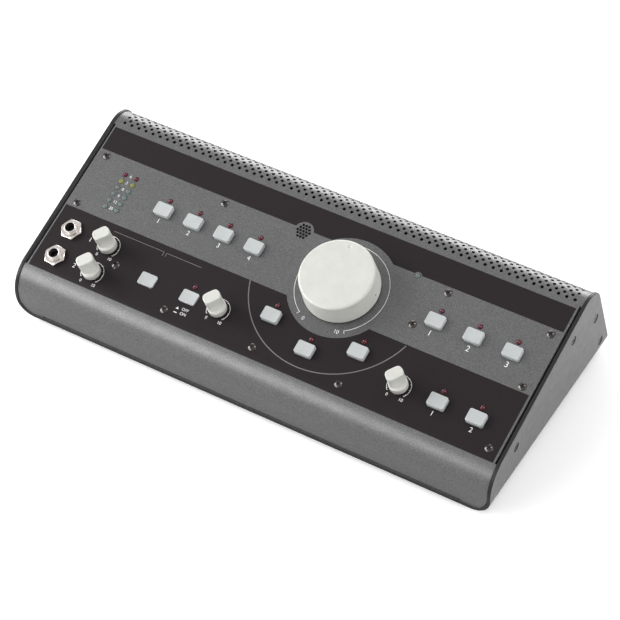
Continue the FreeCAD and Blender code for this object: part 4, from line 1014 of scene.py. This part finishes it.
def phono_sockets():
    """The white and the red phono socket, each a barrel round an insulated pin's hole."""
    shape = Shape()
    for index, (x, y, _) in enumerate(spots("phono_sockets", REAR)):
        shape.prism(x, y, 12.4, 12.4, 0.6, [(0, -13.2), (0, -1.2)], finish=1)
        shape.lathe([(6.2, 0), (6.2, 0.6), (6.0, 0.8), (4.9, 0.8)], 40, x, y)
        shape.lathe([(4.9, 0.8), (4.9, 1.8), (4.7, 2.0), (4.15, 2.0)], 40, x, y, 2 + index)
        shape.lathe([(4.15, 0.8), (4.15, 8.1), (3.95, 8.5), (3.35, 8.5), (3.2, 8.3), (3.2, 6.2)], 40, x, y)
        shape.lathe([(3.2, 7.4), (1.65, 7.4), (1.65, 2.0), (0, 2.0)], 32, x, y, 2 + index)
    shape.piece("phono_barrels", [NICKEL, BLACK_PLASTIC, PHONO_WHITE, PHONO_RED], "phono_sockets",
                slot="socket_metal", place=REAR)


def ground_terminal():
    """A threaded post with a knurled thumb nut on it."""
    x, y, _ = spots("ground_post", REAR)[0]
    threads = []
    for index in range(16):
        threads += [(2.0, 0.5 * index), (1.75, 0.5 * index + 0.25)]
    profile = [(4.0, -4.2), (4.0, -1.2), (2.0, -1.2), *threads, (2.0, 8.2), (1.6, 8.9), (0, 9.0)]
    post = Shape().lathe(profile, 24, x, y)
    post.piece("ground_stud", [BRASS], "ground_post", slot="socket_brass", place=REAR)
    rings = []
    profile = [(2.1, 0.0), (3.9, 0.0), (4.2, 0.3), (4.2, 5.0), (3.9, 5.4), (2.1, 5.4), (2.1, 4.6)]
    for reach, height in profile:
        knurl = 0.16 if reach > 4.1 else 0.0
        crests, grooves = circle(x, y, reach, 72), circle(x, y, reach - knurl, 72)
        rings.append([(*(grooves if index % 2 else crests)[index], height) for index in range(72)])
    nut = Shape().stack(rings, closed=False)
    nut.piece("ground_thumb_nut", [BRASS], "ground_nut", slot="socket_brass", place=REAR, sharp=20)


def power_inlet():
    """A collared round inlet with three pins in its insert."""
    x, y, _ = spots("power_inlet", REAR)[0]
    shape = Shape()
    shape.lathe([(9.0, -16.0), (9.0, 0), (10.5, 0), (10.5, 0.9), (10.2, 1.2), (8.3, 1.2), (8.0, 0.9),
                 (8.0, -11.8), (6.4, -11.8), (6.4, 0.7), (6.1, 1.0)], 56, x, y)
    pins = [(3.0 * cos(radians(a)), 3.0 * sin(radians(a))) for a in (90, 210, 330)]
    pads = [circle(x + px, y + py, 1.15, 16) for px, py in pins]
    sheet(shape, fill([circle(x, y, 6.1, 56)], pads), 6.0, flat, 1.0)
    sheet(shape, fill([circle(x, y, 6.1, 56)]), 0, flat, -4.8)
    for px, py in pins:
        shape.lathe([(0.6, -4.8), (0.6, 0.1), (0.35, 0.5), (0, 0.55)], 16, x + px, y + py, 1)
    shape.piece("inlet_shell", [BLACK_PLASTIC, BRASS], "power_inlet", slot="socket_metal", place=REAR)


def rocker():
    """The power rocker, its two faces slightly dished, leaning to its off side."""
    x, y, _ = spots("rocker_frame", REAR)[0]
    half, width = 9.2, 11.0
    face = [(half * share, 1.3 + 1.3 * abs(share) ** 1.25 - 0.12 * sin(pi * abs(share)))
            for share in [1 - index / 8 for index in range(17)]]
    under = [(-half, -1.5), (-0.4 * half, -5.5), (0.4 * half, -5.5), (half, -1.5)]
    lean = Matrix.Rotation(radians(9.0), 2)
    profile = [lean @ Vector(point) for point in face + under]
    rings = [[(x + side * width / 2, y + up, out) for up, out in profile] for side in (-1, 1)]
    shape = Shape().stack(rings)
    shape.piece("power_rocker_paddle", [SWITCH_PLASTIC], "power_rocker", slot="rocker_plastic",
                place=REAR, sharp=30)


# -------- stage


def area_light(name, place, size, watts):
    """A rectangular soft box that faces the object."""
    light = bpy.data.lights.new(name, "AREA")
    light.shape = "RECTANGLE"
    light.size, light.size_y = size
    light.energy = watts
    turn = (Vector(LIGHT_AIM) - Vector(place)).to_track_quat("-Z", "Y")
    linked(name, light).matrix_world = Matrix.LocRotScale(Vector(place), turn, None)


def camera():
    """A long lens from the front right, above the object."""
    data = bpy.data.cameras.new("camera")
    data.lens, data.sensor_width = LENS, SENSOR
    data.clip_start, data.clip_end = 0.05, 20
    made = linked("camera", data)
    made.matrix_world = Matrix.Translation(CAMERA_PLACE) @ Matrix(CAMERA_AXES).transposed().to_4x4()
    bpy.context.scene.camera = made


def floor():
    """Plain paper. It looks a little brighter to the camera than it lights the object."""
    points = [(x * FLOOR_HALF, y * FLOOR_HALF, 0) for x, y in SQUARE]
    mesh = bpy.data.meshes.new("floor")
    mesh.from_pydata(points, [], [[0, 1, 2, 3]])
    surface = Finish("floor_paper", srgb(248, 248, 248), 0.9, Emission_Color=(1, 1, 1, 1))
    whites = (0.3, srgb(246, 246, 246)), (0.7, srgb(250, 250, 250))
    surface.drive("Base Color", surface.ramp(surface.noise(400.0, 1.0), *whites))
    path = add_node(surface.tree, "LightPath")
    glow = add_node(surface.tree, "Math")
    glow.operation = "MULTIPLY"
    glow.inputs[1].default_value = FLOOR_GLOW
    surface.tree.links.new(path.outputs["Is Camera Ray"], glow.inputs[0])
    surface.drive("Emission Strength", glow.outputs[0])
    mesh.materials.append(surface.material)
    linked("floor", mesh)


def world():
    """A studio surround that looks white to the camera and in reflections, but lights matt
    surfaces with no more than a share of that white."""
    sky = bpy.data.worlds.new("studio")
    sky.use_nodes = True
    tree = sky.node_tree
    shade = tree.nodes["Background"]
    shade.inputs["Color"].default_value = (1, 1, 1, 1)
    path = add_node(tree, "LightPath")
    seen = path.outputs["Is Camera Ray"]
    for kind in ("Is Glossy Ray", "Is Transmission Ray"):
        either = add_node(tree, "Math")
        either.operation = "MAXIMUM"
        tree.links.new(seen, either.inputs[0])
        tree.links.new(path.outputs[kind], either.inputs[1])
        seen = either.outputs[0]
    strength = add_node(tree, "MapRange", To_Min=SURROUND, To_Max=1.0)
    tree.links.new(seen, strength.inputs["Value"])
    tree.links.new(strength.outputs["Result"], shade.inputs["Strength"])
    bpy.context.scene.world = sky
    bpy.context.scene.view_settings.view_transform = "Standard"


# -------- whole

cover()
tray()
black_print()
white_print()
grey_print()
figures()
feet()
foam_and_hole_shade()
screws("panel_screw_heads", "panel_screws", PANEL, 0.0)
screws("rear_screw_heads", "rear_screws", REAR, SKIRT_FACE)
side_screws()
for node in BUTTONS:
    button(node)
for node in KNOBS:
    level_knob(node)
volume_knob()
lamps("status_lenses", "status_leds", RED_LENS, "red_lens")
lamps("power_lens", "power_led", CLEAR_LENS, "clear_lens")
lamps("meter_lenses_red", "meter_leds_red", RED_LENS, "red_lens")
lamps("meter_lenses_yellow", "meter_leds_yellow", YELLOW_LENS, "yellow_lens")
lamps("meter_lenses_green", "meter_leds_green", CLEAR_LENS, "clear_lens")
jacks("phones", "phones_jacks", PANEL, 5.3)
jacks("rear", "rear_jacks", REAR, 3.2)
phono_sockets()
ground_terminal()
power_inlet()
rocker()

COATS = {    # the CAD pieces that are shown as they are
    "rear_panel": PAINT_REAR, "main_board": BOARD, "rear_board": BOARD, "board_standoffs": NICKEL,
    "switch_bodies": SWITCH_PLASTIC, "level_pots": SWITCH_PLASTIC, "volume_pot": SWITCH_PLASTIC,
    # The mic capsule takes the near-black that also paints the shade in the grille's holes.
    "volume_pot_nut": NICKEL, "rocker_frame": BLACK_PLASTIC, "talkback_mic": BLACK_AND_PAINTED_SHADE, "mic_boot": RUBBER,
}
COATS.update({node: NICKEL for node in NODES if "shaft" in node})
for node, material in COATS.items():
    materials = NODES[node].data.materials
    materials.clear()
    materials.append(material)

camera()
floor()
world()
for light in LIGHTS:
    area_light(*light)
